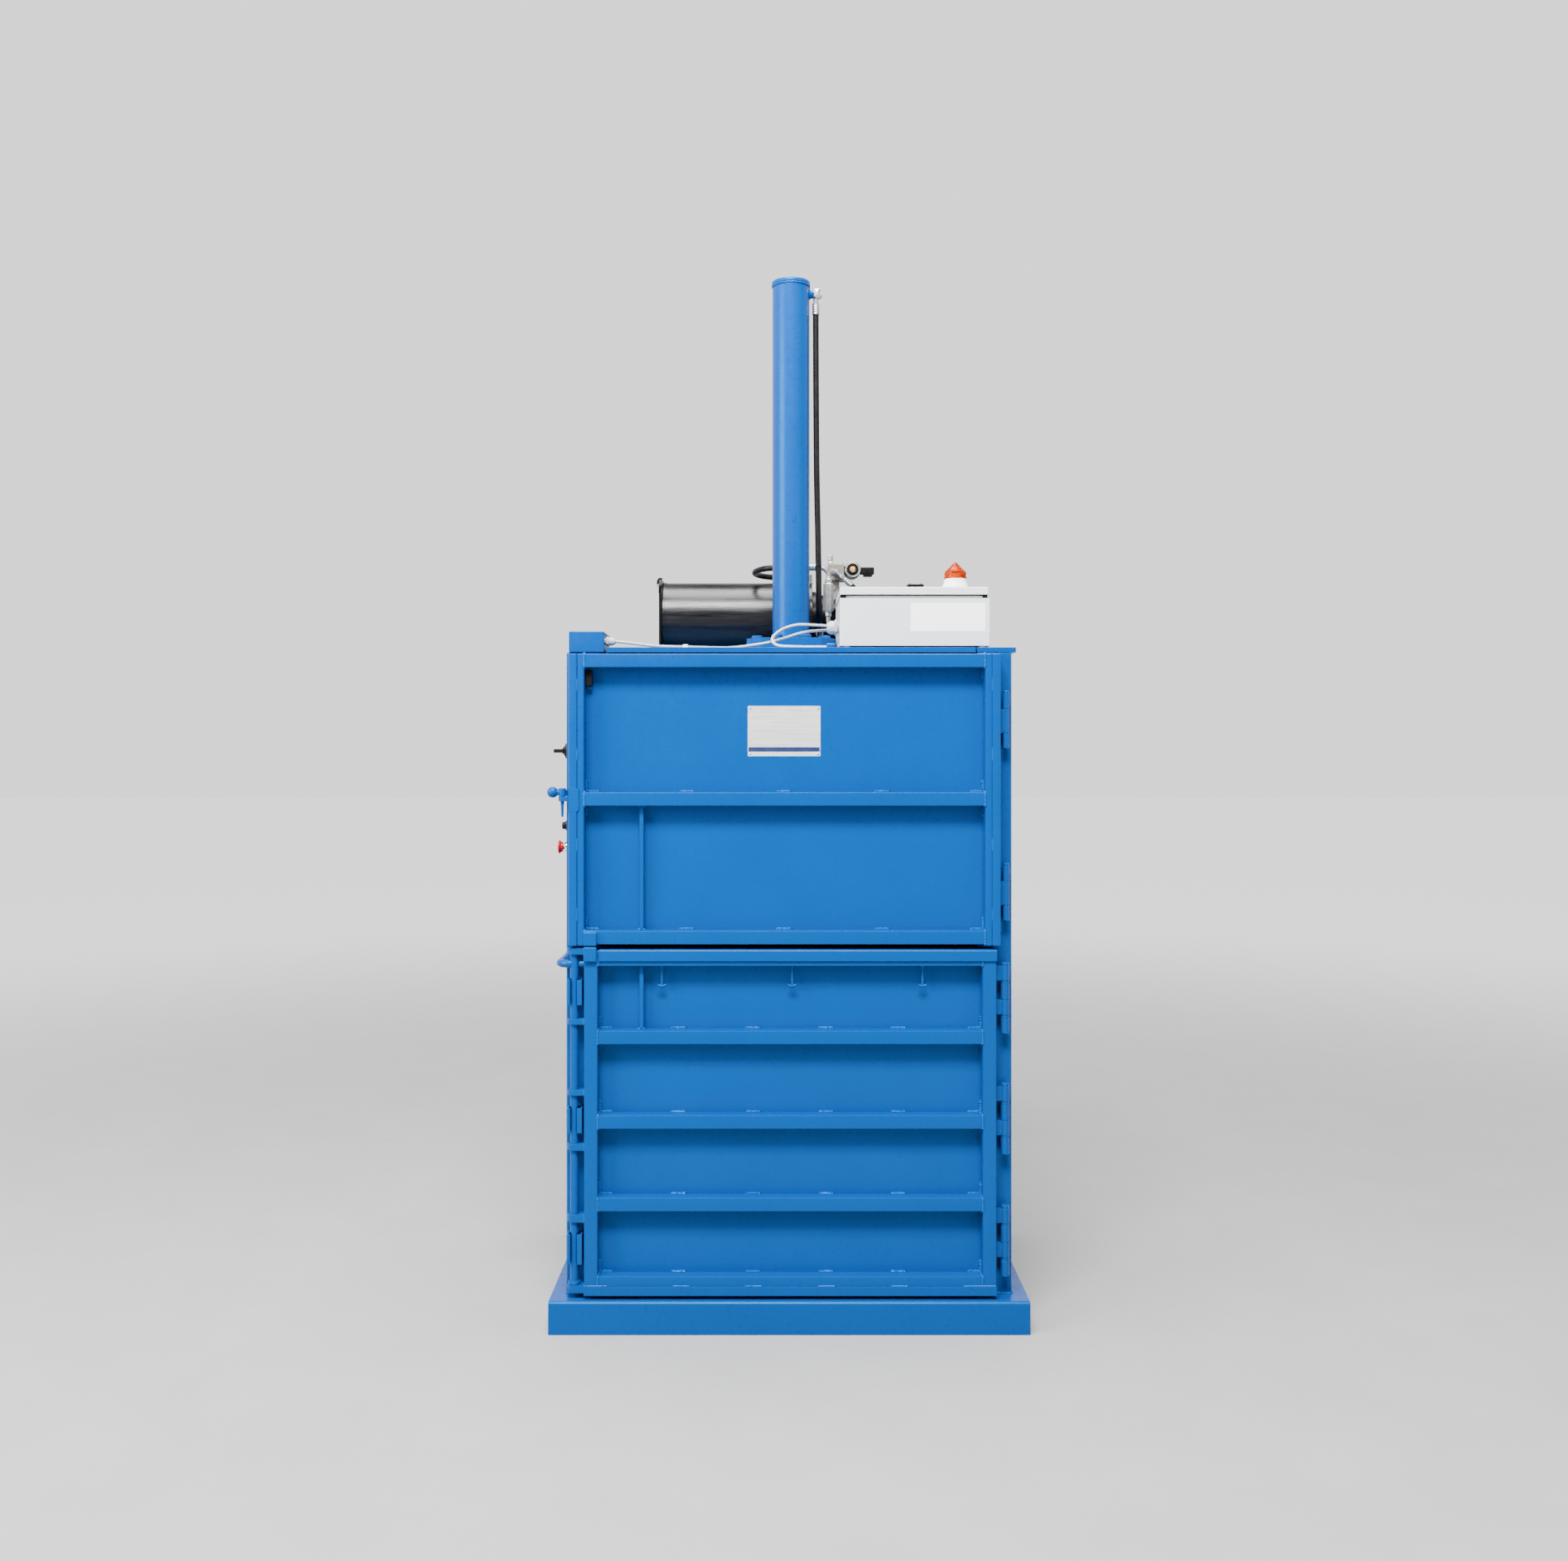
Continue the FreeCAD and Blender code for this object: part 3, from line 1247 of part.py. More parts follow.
def beacon_lens():
    """The warning light's lens: a short drum under a cone with a blunt tip."""
    wide, tip = s.beacon_collar / 2, s.lens_tip / 2
    shoulder = lens_low + s.lens_tall
    high = shoulder + s.lens_cone
    edge = s.lens_edge_tall
    profile = [(0, lens_low), (wide, lens_low), (wide, shoulder),
               (wide - s.lens_edge, shoulder + edge), (s.lens_tip_wide / 2, high - edge),
               (tip, high), (0, high)]
    return turned(profile, (s.beacon_place, s.beacon_depth, 0))


# ---------------------------------------------------------------- power unit

unit_y = s.unit_depth
unit_z = roof_top + s.unit_up
tank_long = s.tank_right - s.tank_left


def tank():
    """The oil tank: a closed drum that lies along X."""
    wide, wall = s.tank_dia / 2, s.tank_wall
    profile = [(0, 0), (wide, 0), (wide, tank_long), (0, tank_long), (0, tank_long - wall),
               (wide - wall, tank_long - wall), (wide - wall, wall), (0, wall)]
    return turned(profile, (s.tank_left, unit_y, unit_z), "x")


def tank_brackets():
    """The plate at the tank's left end, a saddle under its right end and the motor's foot."""
    thick = s.bracket_thick
    wide = s.bracket_wide / 2
    tank_top = unit_z + s.tank_dia / 2
    x = (s.tank_left - thick, s.tank_left)
    foot_x = (x[0] - s.bracket_foot, x[0])
    lug_y = (unit_y - s.lug_thick / 2, unit_y + s.lug_thick / 2)
    hole = rod("y", (x[0] - s.lug_hole_in, lug_y[0] - TOOL_MORE, tank_top - s.lug_hole_down),
               s.lug_thick + TOOL_MORE * 2, s.lug_hole)
    lug = cut(block(foot_x, lug_y, (tank_top - s.lug_down, tank_top + s.lug_up)), [hole])
    end = fused([block(x, (unit_y - wide, unit_y + wide), (roof_top, tank_top)),
                 block(foot_x, (unit_y - wide, unit_y + wide), (roof_top, roof_top + thick)), lug])
    saddles = [saddle(s.tank_right - s.tank_saddle_in, s.tank_dia),
               saddle(s.motor_right - s.motor_saddle_in, s.motor_dia)]
    return together([end] + saddles)


SADDLE_WIDE_SHARE = 0.72
SADDLE_TOP_SHARE = 0.3


def saddle(middle, dia):
    """A rest under a drum, hollowed to the drum's round."""
    thick = s.saddle_thick
    drum = rod("x", (middle - thick, unit_y, unit_z), thick * 2, dia + s.saddle_gap * 2)
    reach = dia * (SADDLE_WIDE_SHARE / 2)
    rest = block((middle - thick / 2, middle + thick / 2), (unit_y - reach, unit_y + reach),
                 (roof_top, unit_z - dia * SADDLE_TOP_SHARE))
    return cut(rest, [drum])


block_y = (s.block_front, s.block_front + s.block_deep)
block_z = (unit_z + s.block_up, unit_z + s.block_up + s.block_tall)


def pump_manifold():
    """The pump housing between tank and motor, with the valve block on a column."""
    body = rod("x", (s.tank_right, unit_y, unit_z), s.adaptor_right - s.tank_right,
               s.adaptor_dia)
    column = block((s.column_left, s.column_right), inset(block_y, s.column_in),
                   (unit_z + s.column_root, block_z[0]))
    valve = block((s.block_left, s.block_right), block_y, block_z)
    return fused([body, column, valve])


FIN_ROOT_SHARE = 0.2
FIN_TIP_SHARE = 0.12


def motor():
    """The electric motor: a finned body, a fan cover and a terminal box."""
    fin_right = s.motor_right - s.fan_cover_long
    corners = []
    outer, root = s.motor_dia / 2, s.motor_dia / 2 - s.motor_fin
    pitch = 360 / SIZES["motor_fins"]
    for fin in range(SIZES["motor_fins"]):
        for share, radius in ((-FIN_ROOT_SHARE, root), (-FIN_TIP_SHARE, outer),
                              (FIN_TIP_SHARE, outer), (FIN_ROOT_SHARE, root)):
            turn = math.radians(pitch * (fin + share))
            corners.append((unit_y + radius * math.cos(turn), unit_z + radius * math.sin(turn)))
    body = plate("yz", corners, s.adaptor_right, fin_right - s.adaptor_right)
    cover = rod("x", (fin_right, unit_y, unit_z), s.fan_cover_long, s.motor_dia)
    box_x = (s.terminal_place, s.terminal_place + s.terminal_wide)
    terminal = block(box_x, (unit_y - s.terminal_deep / 2, unit_y + s.terminal_deep / 2),
                     (unit_z + root - s.terminal_root, unit_z + outer + s.terminal_up))
    return fused([body, cover, terminal])


def solenoid_coil():
    """The valve's coil beside the block, its nut and its plug."""
    x, z = s.coil_place, block_z[1] - s.coil_down
    near = s.block_front - s.coil_ahead
    coil = rod("y", (x, near, z), s.coil_long, s.coil_dia)
    lug = block((s.block_right, x), (near + s.coil_lug_near, near + s.coil_lug_far),
                (z - s.coil_lug / 2, z + s.coil_lug / 2))
    plug_y = near + s.plug_near
    plug = block((x, s.plug_right), (plug_y, plug_y + s.plug_wide), (z - s.plug_low, z + s.plug_high))
    nut = rod("-y", (x, near, z), s.coil_nut_long, s.coil_nut)
    return together([fused([coil, lug, plug]), nut])


# ---------------------------------------------------------------- fittings

port_z = s.tube_top - s.port_down
ferrule_end = port_z - s.port_nut / 2 - s.nipple_long


def port_fitting():
    """The cylinder's upper port: boss, banjo nut, nipple and hose ferrule."""
    near = press_x + s.tube_outer / 2
    start = near - s.port_boss_in
    nut_x = near + s.port_boss_out
    boss = cut(rod("x", (start, press_y, port_z), nut_x - start, s.port_boss),
               [rod("z", (press_x, press_y, port_z - s.port_boss), s.port_boss * 2, s.tube_outer)])
    nut = hexagon("x", (nut_x, press_y, port_z), s.port_end - nut_x, s.port_nut)
    x = s.hose_top_place
    nipple_low = ferrule_end + s.ferrule_long
    nipple = rod("z", (x, press_y, nipple_low), port_z - nipple_low, s.nipple_dia)
    ferrule = rod("z", (x, press_y, ferrule_end), s.ferrule_long, s.ferrule_dia)
    return fused([boss, nut, nipple, ferrule])


def flow_valve():
    """The hexagonal flow valve with its elbow above, its tail below and its stub to the block."""
    x, y = s.valve_place, s.loop_front
    low, high = s.valve_low, s.valve_low + s.valve_tall
    level = s.loop_level
    turn = s.elbow_bend
    stub_x = s.column_left + s.nipple_dia / 2
    return fused([hexagon("z", (x, y, low), s.valve_tall, s.valve_flats),
                  hexagon("z", (x, y, high), s.valve_nut_tall, s.valve_nut),
                  rod("z", (x, y, high), level - turn - high, s.nipple_dia),
                  bend((x - turn, y, level - turn), turn, s.nipple_dia, "-y"),
                  rod("-x", (x - turn, y, level), x - turn - s.loop_start, s.ferrule_dia),
                  hexagon("-z", (x, y, low), s.valve_foot_tall, s.valve_nut),
                  rod("-z", (x, y, low), s.valve_tail, s.nipple_dia),
                  rod("y", (stub_x, y, (low + high) / 2), block_y[0] + s.stub_in - y, s.nipple_dia)])


def relief_cap():
    """The relief valve's nut and cap on top of the block."""
    spot = (s.block_left + s.relief_in, block_y[0] + s.relief_deep, block_z[1])
    return fused([hexagon("z", spot, s.relief_nut_tall, s.relief_nut),
                  rod("z", spot, s.relief_tall, s.relief_dia)])


def return_riser():
    """The riser on the tank's top, with the loop hose's end fitting."""
    x, y, level = s.return_place, s.loop_rear, s.return_level
    riser = rod("z", (x, y, unit_z), level - unit_z + s.riser_over, s.riser_dia)
    back = rod("-x", (x, y, level), x - s.loop_end, s.ferrule_dia)
    drum = rod("x", (s.tank_left, unit_y, unit_z), tank_long + s.return_place, s.tank_dia)
    return cut(fused([riser, back]), [drum])


def intake_fitting():
    """The pressure hose's end fitting on the pump housing."""
    intake = rod("-y", (s.intake_place, unit_y, s.intake_level), unit_y - s.hose_end,
                 s.ferrule_dia)
    pump = rod("x", (s.tank_right, unit_y, unit_z), s.adaptor_right - s.tank_right,
               s.adaptor_dia)
    return cut(intake, [pump])


def valve_fittings():
    """The flow valve with its elbow, the relief cap and the hoses' end fittings."""
    return together([flow_valve(), relief_cap(), return_riser(), intake_fitting()])


# ---------------------------------------------------------------- hoses and cables

CABLE_LIFT = 0.7    # how far the lying cables keep off the roof


def tube_solid(label, points, dia):
    """A flexible line: straight runs joined by tangent arcs, as large as the runs allow."""
    points = [V(*point) for point in points]
    runs = [(b - a) for a, b in zip(points, points[1:])]
    edges, radii = [], []
    begin = points[0]
    for index in range(1, len(points) - 1):
        before, after = runs[index - 1], runs[index]
        turn = before.getAngle(after)
        shorter = min(before.Length, after.Length)
        radius = 0.45 * shorter / math.tan(turn / 2)
        back = 0.45 * shorter
        first = points[index] - before.normalize() * back
        last = points[index] + V(after).normalize() * back
        toward = (first + last) * 0.5 - points[index]
        reach = radius / math.cos(turn / 2) - radius
        middle = points[index] + toward.normalize() * reach
        runs[index - 1] = points[index] - points[index - 1]
        edges.append(Part.LineSegment(begin, first).toShape())
        edges.append(Part.Arc(first, middle, last).toShape())
        begin = last
        radii.append(radius)
    edges.append(Part.LineSegment(begin, points[-1]).toShape())
    path = Part.Wire(edges)
    start = Part.Circle(points[0], points[1] - points[0], dia / 2)
    solid = path.makePipeShell([Part.Wire(start.toShape())], True, False)
    ideal = path.Length * math.pi * dia * dia / 4
    print("%s: length %.0f mm, radii %s, volume share %.4f"
          % (label, path.Length, [round(radius) for radius in radii], solid.Volume / ideal))
    feature = doc.addObject("Part::Feature", "Line")
    feature.Shape = solid
    return feature


def pressure_hose():
    """The hose from the cylinder's upper port down to the pump."""
    top = float(ferrule_end)
    end = (float(s.intake_place), float(s.hose_end), float(s.intake_level))
    return tube_solid("pressure_hose", [
        (float(s.hose_top_place), float(press_y), top), (88.5, -41.5, 2600), (95, -44, 2322),
        (97, -42, 2158), (101, 38, 2068), end], float(s.hose_dia))


def loop_hose():
    """The hose that loops behind the cylinder, from the valve back to the tank."""
    front_y, rear_y = float(s.loop_front), float(s.loop_rear)
    return tube_solid("loop_hose", [
        (float(s.loop_start), front_y, float(s.loop_level)), (-50, front_y + 1, 2272),
        (-109, front_y + 61, 2268), (-110, rear_y - 60, 2265), (-51, rear_y - 1, 2262.5),
        (float(s.loop_end), rear_y, float(s.return_level))], float(s.hose_dia))


def panel_cable():
    """The cable from the enclosure that loops to the left and back into the roof."""
    start = float(s.encl_left - s.large_gland_long)
    level = float(large_gland_z)
    depth = float(s.large_gland_depth)
    lying = float(roof_top + s.small_cable / 2) + CABLE_LIFT
    return tube_solid("panel_cable", [
        (start, depth - 8, level + 5), (70, -259, 2051), (20, -262, 2052), (-28, -272, 2034),
        (-55, -288, 2004), (-37, -316, 1983), (10, -337, lying + 2), (60, -346, lying),
        (float(s.hood_place), float(s.hood_depth), lying + 0.5)], float(s.small_cable))


def switch_cable():
    """The cable from the enclosure along the roof to the box on the left post."""
    start = float(s.encl_left - s.large_gland_long)
    level = float(large_gland_z)
    depth = float(s.large_gland_depth)
    lying = float(roof_top + s.small_cable / 2) + CABLE_LIFT
    end = float(switch_x[1] + s.small_gland_long)
    return tube_solid("switch_cable", [
        (start, depth + 8, level - 7), (75, -243, 2035), (30, -246, 2027), (-17, -250, 2010),
        (-62, -254, 1997), (-112, -264, 1989), (-168, -286, lying + 2), (-232, -318, lying),
        (-300, -347, lying + 0.3), (-370, -366, lying), (-425, -377, lying + 4),
        (-470, -381, 1988), (end, float(s.small_gland_depth), float(small_gland_z))],
        float(s.small_cable))


# ---------------------------------------------------------------- the whole machine

MAKERS = (
    base_frame, floor_plate, rear_ribs, top_plate, top_beams,
    cylinder_tube, cylinder_head, cylinder_flange, flange_bolts, cylinder_gland,
    piston_rod, piston, platen, platen_shoes,
    upper_door_frame, upper_door_sheet, door_magnet, name_plate,
    lower_door_frame, lower_door_sheet, lower_door_lip, strap_hooks,
    upper_door_knuckles, lower_door_knuckles, frame_knuckles, hinge_pins,
    lock_shaft, lock_lever, lock_keepers, latch_bracket, latch_lever,
    control_panel, control_collars, isolator_knob, stop_button, start_button,
    switch_box, cable_glands, enclosure_body, control_gear, enclosure_lid, lid_hinge_pins,
    beacon_base, beacon_lens, tank, tank_brackets, pump_manifold, motor, solenoid_coil,
    port_fitting, valve_fittings, pressure_hose, loop_hose, panel_cable, switch_cable,
)

for maker in MAKERS:
    node(maker.__name__, maker())
for side_name in SIDES:
    node(side_name + "_side_frame", side_frame(side_name))
    node(side_name + "_side_sheet", side_sheet(side_name))
node("rear_sheet", block((-inner, inner), (s.chamber_rear, s.chamber_rear + s.sheet_thick),
                         (deck, roof_low)))

doc.recompute()
for item in doc.Objects:
    if "Invalid" in item.State or "Error" in item.State:
        raise RuntimeError("%s (%s) failed" % (item.Name, item.Label))
for label, item in NODES.items():
    if item.Shape.isNull() or not item.Shape.isValid() or not item.Shape.Solids:
        raise RuntimeError("%s has no valid solid" % label)

os.makedirs("parts", exist_ok=True)
for label, item in NODES.items():
    item.Shape.exportStep(os.path.join("parts", label + ".step"))
print(len(NODES), "nodes")
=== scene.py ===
"""Looks of a vertical recycling baler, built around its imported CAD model.

Everything is placed in metres in the CAD frame: X to the right, Y into the machine, Z up,
with the origin on the floor under the middle of the base. What is measured across a piece,
such as a radius, a turned profile, a hexagon's flats or the softness of an edge, is given
in millimetres.
"""

import bmesh
import bpy
import json
import math
import random
from itertools import product
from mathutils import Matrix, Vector

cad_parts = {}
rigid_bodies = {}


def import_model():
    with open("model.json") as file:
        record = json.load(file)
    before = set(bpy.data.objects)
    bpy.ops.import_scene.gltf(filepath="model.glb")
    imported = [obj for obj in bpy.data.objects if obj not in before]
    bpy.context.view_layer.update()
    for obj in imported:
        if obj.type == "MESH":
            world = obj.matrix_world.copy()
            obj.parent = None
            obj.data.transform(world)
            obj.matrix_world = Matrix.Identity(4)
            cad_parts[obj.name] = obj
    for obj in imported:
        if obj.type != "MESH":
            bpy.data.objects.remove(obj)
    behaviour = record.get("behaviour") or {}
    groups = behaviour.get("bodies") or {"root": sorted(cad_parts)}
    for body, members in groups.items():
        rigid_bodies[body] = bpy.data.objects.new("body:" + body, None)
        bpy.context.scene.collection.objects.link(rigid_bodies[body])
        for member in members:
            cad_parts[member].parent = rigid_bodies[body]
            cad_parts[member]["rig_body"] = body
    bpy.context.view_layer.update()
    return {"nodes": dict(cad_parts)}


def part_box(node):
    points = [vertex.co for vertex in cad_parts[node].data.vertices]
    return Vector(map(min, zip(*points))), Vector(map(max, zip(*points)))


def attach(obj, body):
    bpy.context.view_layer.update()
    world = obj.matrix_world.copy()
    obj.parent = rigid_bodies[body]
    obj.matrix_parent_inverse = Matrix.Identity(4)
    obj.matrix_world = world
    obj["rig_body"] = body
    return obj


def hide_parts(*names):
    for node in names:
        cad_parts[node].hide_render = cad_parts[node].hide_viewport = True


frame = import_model()

MM = 0.001


def put(name, data, place=(0, 0, 0), turn=(0, 0, 0)):
    """Puts a new object into the scene."""
    made = bpy.data.objects.new(name, data)
    made.location, made.rotation_euler = place, turn
    bpy.context.scene.collection.objects.link(made)
    return made


# ---- camera

IMAGE_WIDTH = 1932.0
FOCAL_PIXELS = 1800.0
AHEAD_PIXEL = (958.0, 937.0)          # where a point straight ahead of the camera falls
IMAGE_MIDDLE = (966.0, 961.5)
CAMERA_PLACE = (-0.0336, -4.656, 1.6426)
SENSOR = 36.0


def make_camera():
    """A level camera in front of the doors, framed as in the photograph."""
    data = bpy.data.cameras.new("Camera")
    data.sensor_width = SENSOR
    data.lens = SENSOR * FOCAL_PIXELS / IMAGE_WIDTH
    data.shift_x = (IMAGE_MIDDLE[0] - AHEAD_PIXEL[0]) / IMAGE_WIDTH
    data.shift_y = (AHEAD_PIXEL[1] - IMAGE_MIDDLE[1]) / IMAGE_WIDTH
    data.clip_end = 100.0
    bpy.context.scene.camera = put("Camera", data, CAMERA_PLACE, (math.radians(90), 0, 0))


make_camera()

# ---- materials


class Surface:
    """One procedural material, with its patterns laid in the object's own space."""

    def __init__(self, name, **constants):
        self.material = bpy.data.materials.new(name)
        self.material.use_nodes = True
        tree = self.material.node_tree
        self.nodes, self.links = tree.nodes, tree.links
        self.shader = self.nodes["Principled BSDF"]
        for socket, value in constants.items():
            self.shader.inputs[socket.replace("_", " ")].default_value = value
        self.space = self.node("ShaderNodeTexCoord").outputs["Object"]
        self.patterns = {}
        self.relief = None

    def node(self, kind, **inputs):
        made = self.nodes.new(kind)
        for socket, value in inputs.items():
            socket = made.inputs[socket.replace("_", " ")]
            if isinstance(value, bpy.types.NodeSocket):
                self.links.new(value, socket)
            else:
                socket.default_value = value
        return made

    def pattern(self, scale, detail=3.0, rough=0.55, stretch=None):
        """Noise, drawn out where it has a stretch, or cells where it has no detail."""
        key = (scale, detail, rough, stretch)
        if key not in self.patterns:
            space = self.space
            if stretch:
                space = self.node("ShaderNodeMapping", Vector=space, Scale=stretch).outputs[0]
            if detail:
                made = self.node("ShaderNodeTexNoise", Vector=space, Scale=scale, Detail=detail,
                                 Roughness=rough)
            else:
                made = self.node("ShaderNodeTexVoronoi", Vector=space, Scale=scale)
            self.patterns[key] = made.outputs[0]
        return self.patterns[key]

    def colour(self, pattern, stops):
        """Colours the surface along a pattern, by (place, colour) stops."""
        ramp = self.node("ShaderNodeValToRGB", Fac=self.pattern(*pattern))
        marks = ramp.color_ramp.elements
        for mark, (place, colour) in zip(marks, (stops[0], stops[-1])):
            mark.position = place
            mark.color = (*colour, 1)
        for place, colour in stops[1:-1]:
            marks.new(place).color = (*colour, 1)
        self.links.new(ramp.outputs["Color"], self.shader.inputs["Base Color"])

    def roughness(self, pattern, low, high):
        made = self.node("ShaderNodeMapRange", Value=self.pattern(*pattern), From_Min=0.3,
                         From_Max=0.7, To_Min=low, To_Max=high)
        self.links.new(made.outputs["Result"], self.shader.inputs["Roughness"])

    def bump(self, pattern, depth):
        """Raises the surface by a pattern, up to a depth in metres."""
        made = self.node("ShaderNodeBump", Height=self.pattern(*pattern), Distance=depth,
                         Strength=1.0)
        if self.relief:
            self.links.new(self.relief, made.inputs["Normal"])
        self.relief = made.outputs["Normal"]
        self.links.new(self.relief, self.shader.inputs["Normal"])


def finish(name, patch, stops, gloss, low, high, *bumps, **constants):
    """A material: colours along a patch, roughness along a gloss pattern, and bumps."""
    surface = Surface(name, **constants)
    surface.colour(patch, stops)
    surface.roughness(gloss, low, high)
    for pattern, depth in bumps:
        surface.bump(pattern, depth)
    return surface.material


def shade(colour, amount):
    """A colour made lighter or darker by a share."""
    return tuple(min(1.0, part * (1 + amount)) for part in colour)


def coated(name, colour, roughness, mottle=0.06, peel=0.00003, peel_scale=170.0, wave=0.0003,
           **constants):
    """Paint or moulded plastic: a faint mottle, a skin texture and a slow wave."""
    stops = [(0.3, shade(colour, -mottle)), (0.5, colour), (0.7, shade(colour, mottle))]
    bumps = [((7.0, 1.0), wave)] * bool(wave) + [((peel_scale, 2.0), peel)]
    return finish(name, (5.0, 4.0), stops, (38.0,), roughness * 0.82, roughness * 1.2, *bumps,
                  **constants)


def metal(name, colour, roughness, stretch=(1, 1, 1), scale=220.0, depth=0.00004, mottle=0.12,
          metallic=1.0):
    """Bare or plated metal with a fine grain, drawn out where it was machined."""
    stops = [(0.3, shade(colour, -mottle)), (0.7, shade(colour, mottle))]
    grain = (scale, 3.0, 0.6, stretch)
    return finish(name, (24.0, 4.0), stops, grain, roughness * 0.75, roughness * 1.35,
                  (grain, depth), Metallic=metallic)


BLUE = (0.0, 0.042, 0.2)
BLUE_COAT = {"Specular_IOR_Level": 0.3, "Specular_Tint": (0.1, 0.62, 1.0, 1.0)}
DULL = {"Specular_IOR_Level": 0.1}
MOULD_STREAK = (40.0, 2.0, 0.5, (1, 1, 6))
DRUM_STREAK = (16.0, 3.0, 0.6, (0.4, 7, 7))

FINISHES = {                          # each finish's material and its slot
    "blue": (coated("blue_enamel", BLUE, 0.3, mottle=0.03, peel=0.00002, peel_scale=260.0,
                    wave=0.0002, IOR=1.5, **BLUE_COAT), "blue_paint"),
    "inner_blue": (coated("blue_inside", shade(BLUE, -0.12), 0.45, mottle=0.08,
                          **{**BLUE_COAT, "Specular_IOR_Level": 0.2}), "blue_paint"),
    # the welds' lighter blue is a painted highlight: the beads carry the same blue paint, lightened
    # to stand for light catching them
    "weld_highlight_blue": (coated("weld_painted_highlight", (0.0008, 0.056, 0.25), 0.5, mottle=0.12, peel=0.0001,
                         **BLUE_COAT), "blue_paint"),
    "grey": (coated("enclosure_grey", (0.56, 0.585, 0.59), 0.42, mottle=0.02, peel=0.00006,
                    peel_scale=260.0, wave=0.0001), "grey_paint"),
    "black_gloss": (finish(
        "tank_black", DRUM_STREAK, [(0.3, (0.0015, 0.0015, 0.002)), (0.7, (0.006, 0.006, 0.007))],
        DRUM_STREAK, 0.22, 0.36, (DRUM_STREAK, 0.00025), IOR=1.5, Specular_IOR_Level=0.28),
        "black_paint"),
    "black": (coated("black_moulded", (0.0045, 0.0045, 0.005), 0.42, mottle=0.25, wave=0, **DULL),
              "black_plastic"),
    "black_metal": (coated("black_enamel", (0.003, 0.003, 0.0038), 0.34, mottle=0.2, **DULL),
                    "black_paint"),
    "steel": (metal("bright_steel", (0.42, 0.42, 0.43), 0.32), "zinc"),
    "zinc": (metal("zinc_plate", (0.4, 0.405, 0.4), 0.34, mottle=0.25, metallic=0.9), "zinc"),
    "chrome": (metal("hard_chrome", (0.78, 0.78, 0.8), 0.1, (1, 1, 0.05), depth=0.000005), "zinc"),
    "brass": (metal("brass_nut", (0.72, 0.42, 0.16), 0.35), "zinc"),
    "aluminium": (metal("cast_aluminium", (0.2, 0.185, 0.16), 0.5, scale=320.0, depth=0.00012,
                        metallic=0.75), "aluminium"),
    "plate": (metal("satin_plate", (0.74, 0.75, 0.77), 0.36, (0.03, 1, 1), depth=0.00001,
                    mottle=0.05, metallic=0.6), "plate_metal"),
    "stripe": (coated("stripe_blue", (0.004, 0.014, 0.075), 0.4, wave=0), "plate_metal"),
    "label": (coated("label_white", (0.94, 0.94, 0.94), 0.5, mottle=0.015, peel=0.00001, wave=0),
              "plate_metal"),
    "light_plastic": (coated("grey_moulded", (0.33, 0.35, 0.37), 0.4, mottle=0.04, wave=0),
                      "grey_plastic"),
    "white_plastic": (coated("white_moulded", (0.82, 0.81, 0.78), 0.38, mottle=0.03, wave=0),
                      "white_plastic"),
    "slide_plastic": (coated("slide_white", (0.78, 0.77, 0.72), 0.5, mottle=0.05, wave=0),
                      "white_plastic"),
    "red": (coated("red_moulded", (0.38, 0.003, 0.006), 0.24, mottle=0.05, wave=0,
                   Coat_Weight=0.15), "red_plastic"),
    "orange": (finish(
        "beacon_orange", MOULD_STREAK, [(0.35, (0.14, 0.006, 0.0)), (0.65, (0.3, 0.032, 0.0))],
        (60.0,), 0.08, 0.16, (MOULD_STREAK, 0.0002), IOR=1.49, Specular_IOR_Level=0.05),
        "orange_lens"),
    "rubber": (finish(
        "hose_cover", (18.0,), [(0.3, (0.0025, 0.0025, 0.003)), (0.7, (0.007, 0.007, 0.0075))],
        (130.0,), 0.28, 0.46, ((420.0, 0), 0.00015), IOR=1.5, Specular_IOR_Level=0.16),
        "hose_rubber"),
    "sheath": (finish(
        "grey_sheath", (30.0,), [(0.3, (0.27, 0.28, 0.3)), (0.7, (0.38, 0.39, 0.41))],
        (200.0,), 0.32, 0.5, ((90.0, 2.0), 0.0002), IOR=1.48), "cable_grey"),
}

# ---- cords

HOSE = {"diameter": 0.019, "stiffness": "stiff"}
CABLE = {"diameter": 0.009, "stiffness": "medium"}


def line(node, look, points, lay, length, **facts):
    """A hose or cable: a smooth curve whose control points are its route."""
    data = bpy.data.curves.new(node + "_line", "CURVE")
    data.dimensions = "3D"
    data.bevel_depth = facts["diameter"] / 2
    data.bevel_resolution = 5
    data.resolution_u = 16
    data.use_fill_caps = True
    spline = data.splines.new("NURBS")
    spline.points.add(len(points) - 1)
    for spot, point in zip(spline.points, points):
        spot.co = (*point, 1)
    spline.order_u = 3
    spline.use_endpoint_u = True
    material, slot = FINISHES[look]
    data.materials.append(material)
    made = put(node + "_line", data)
    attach(made, "frame")
    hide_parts(node)


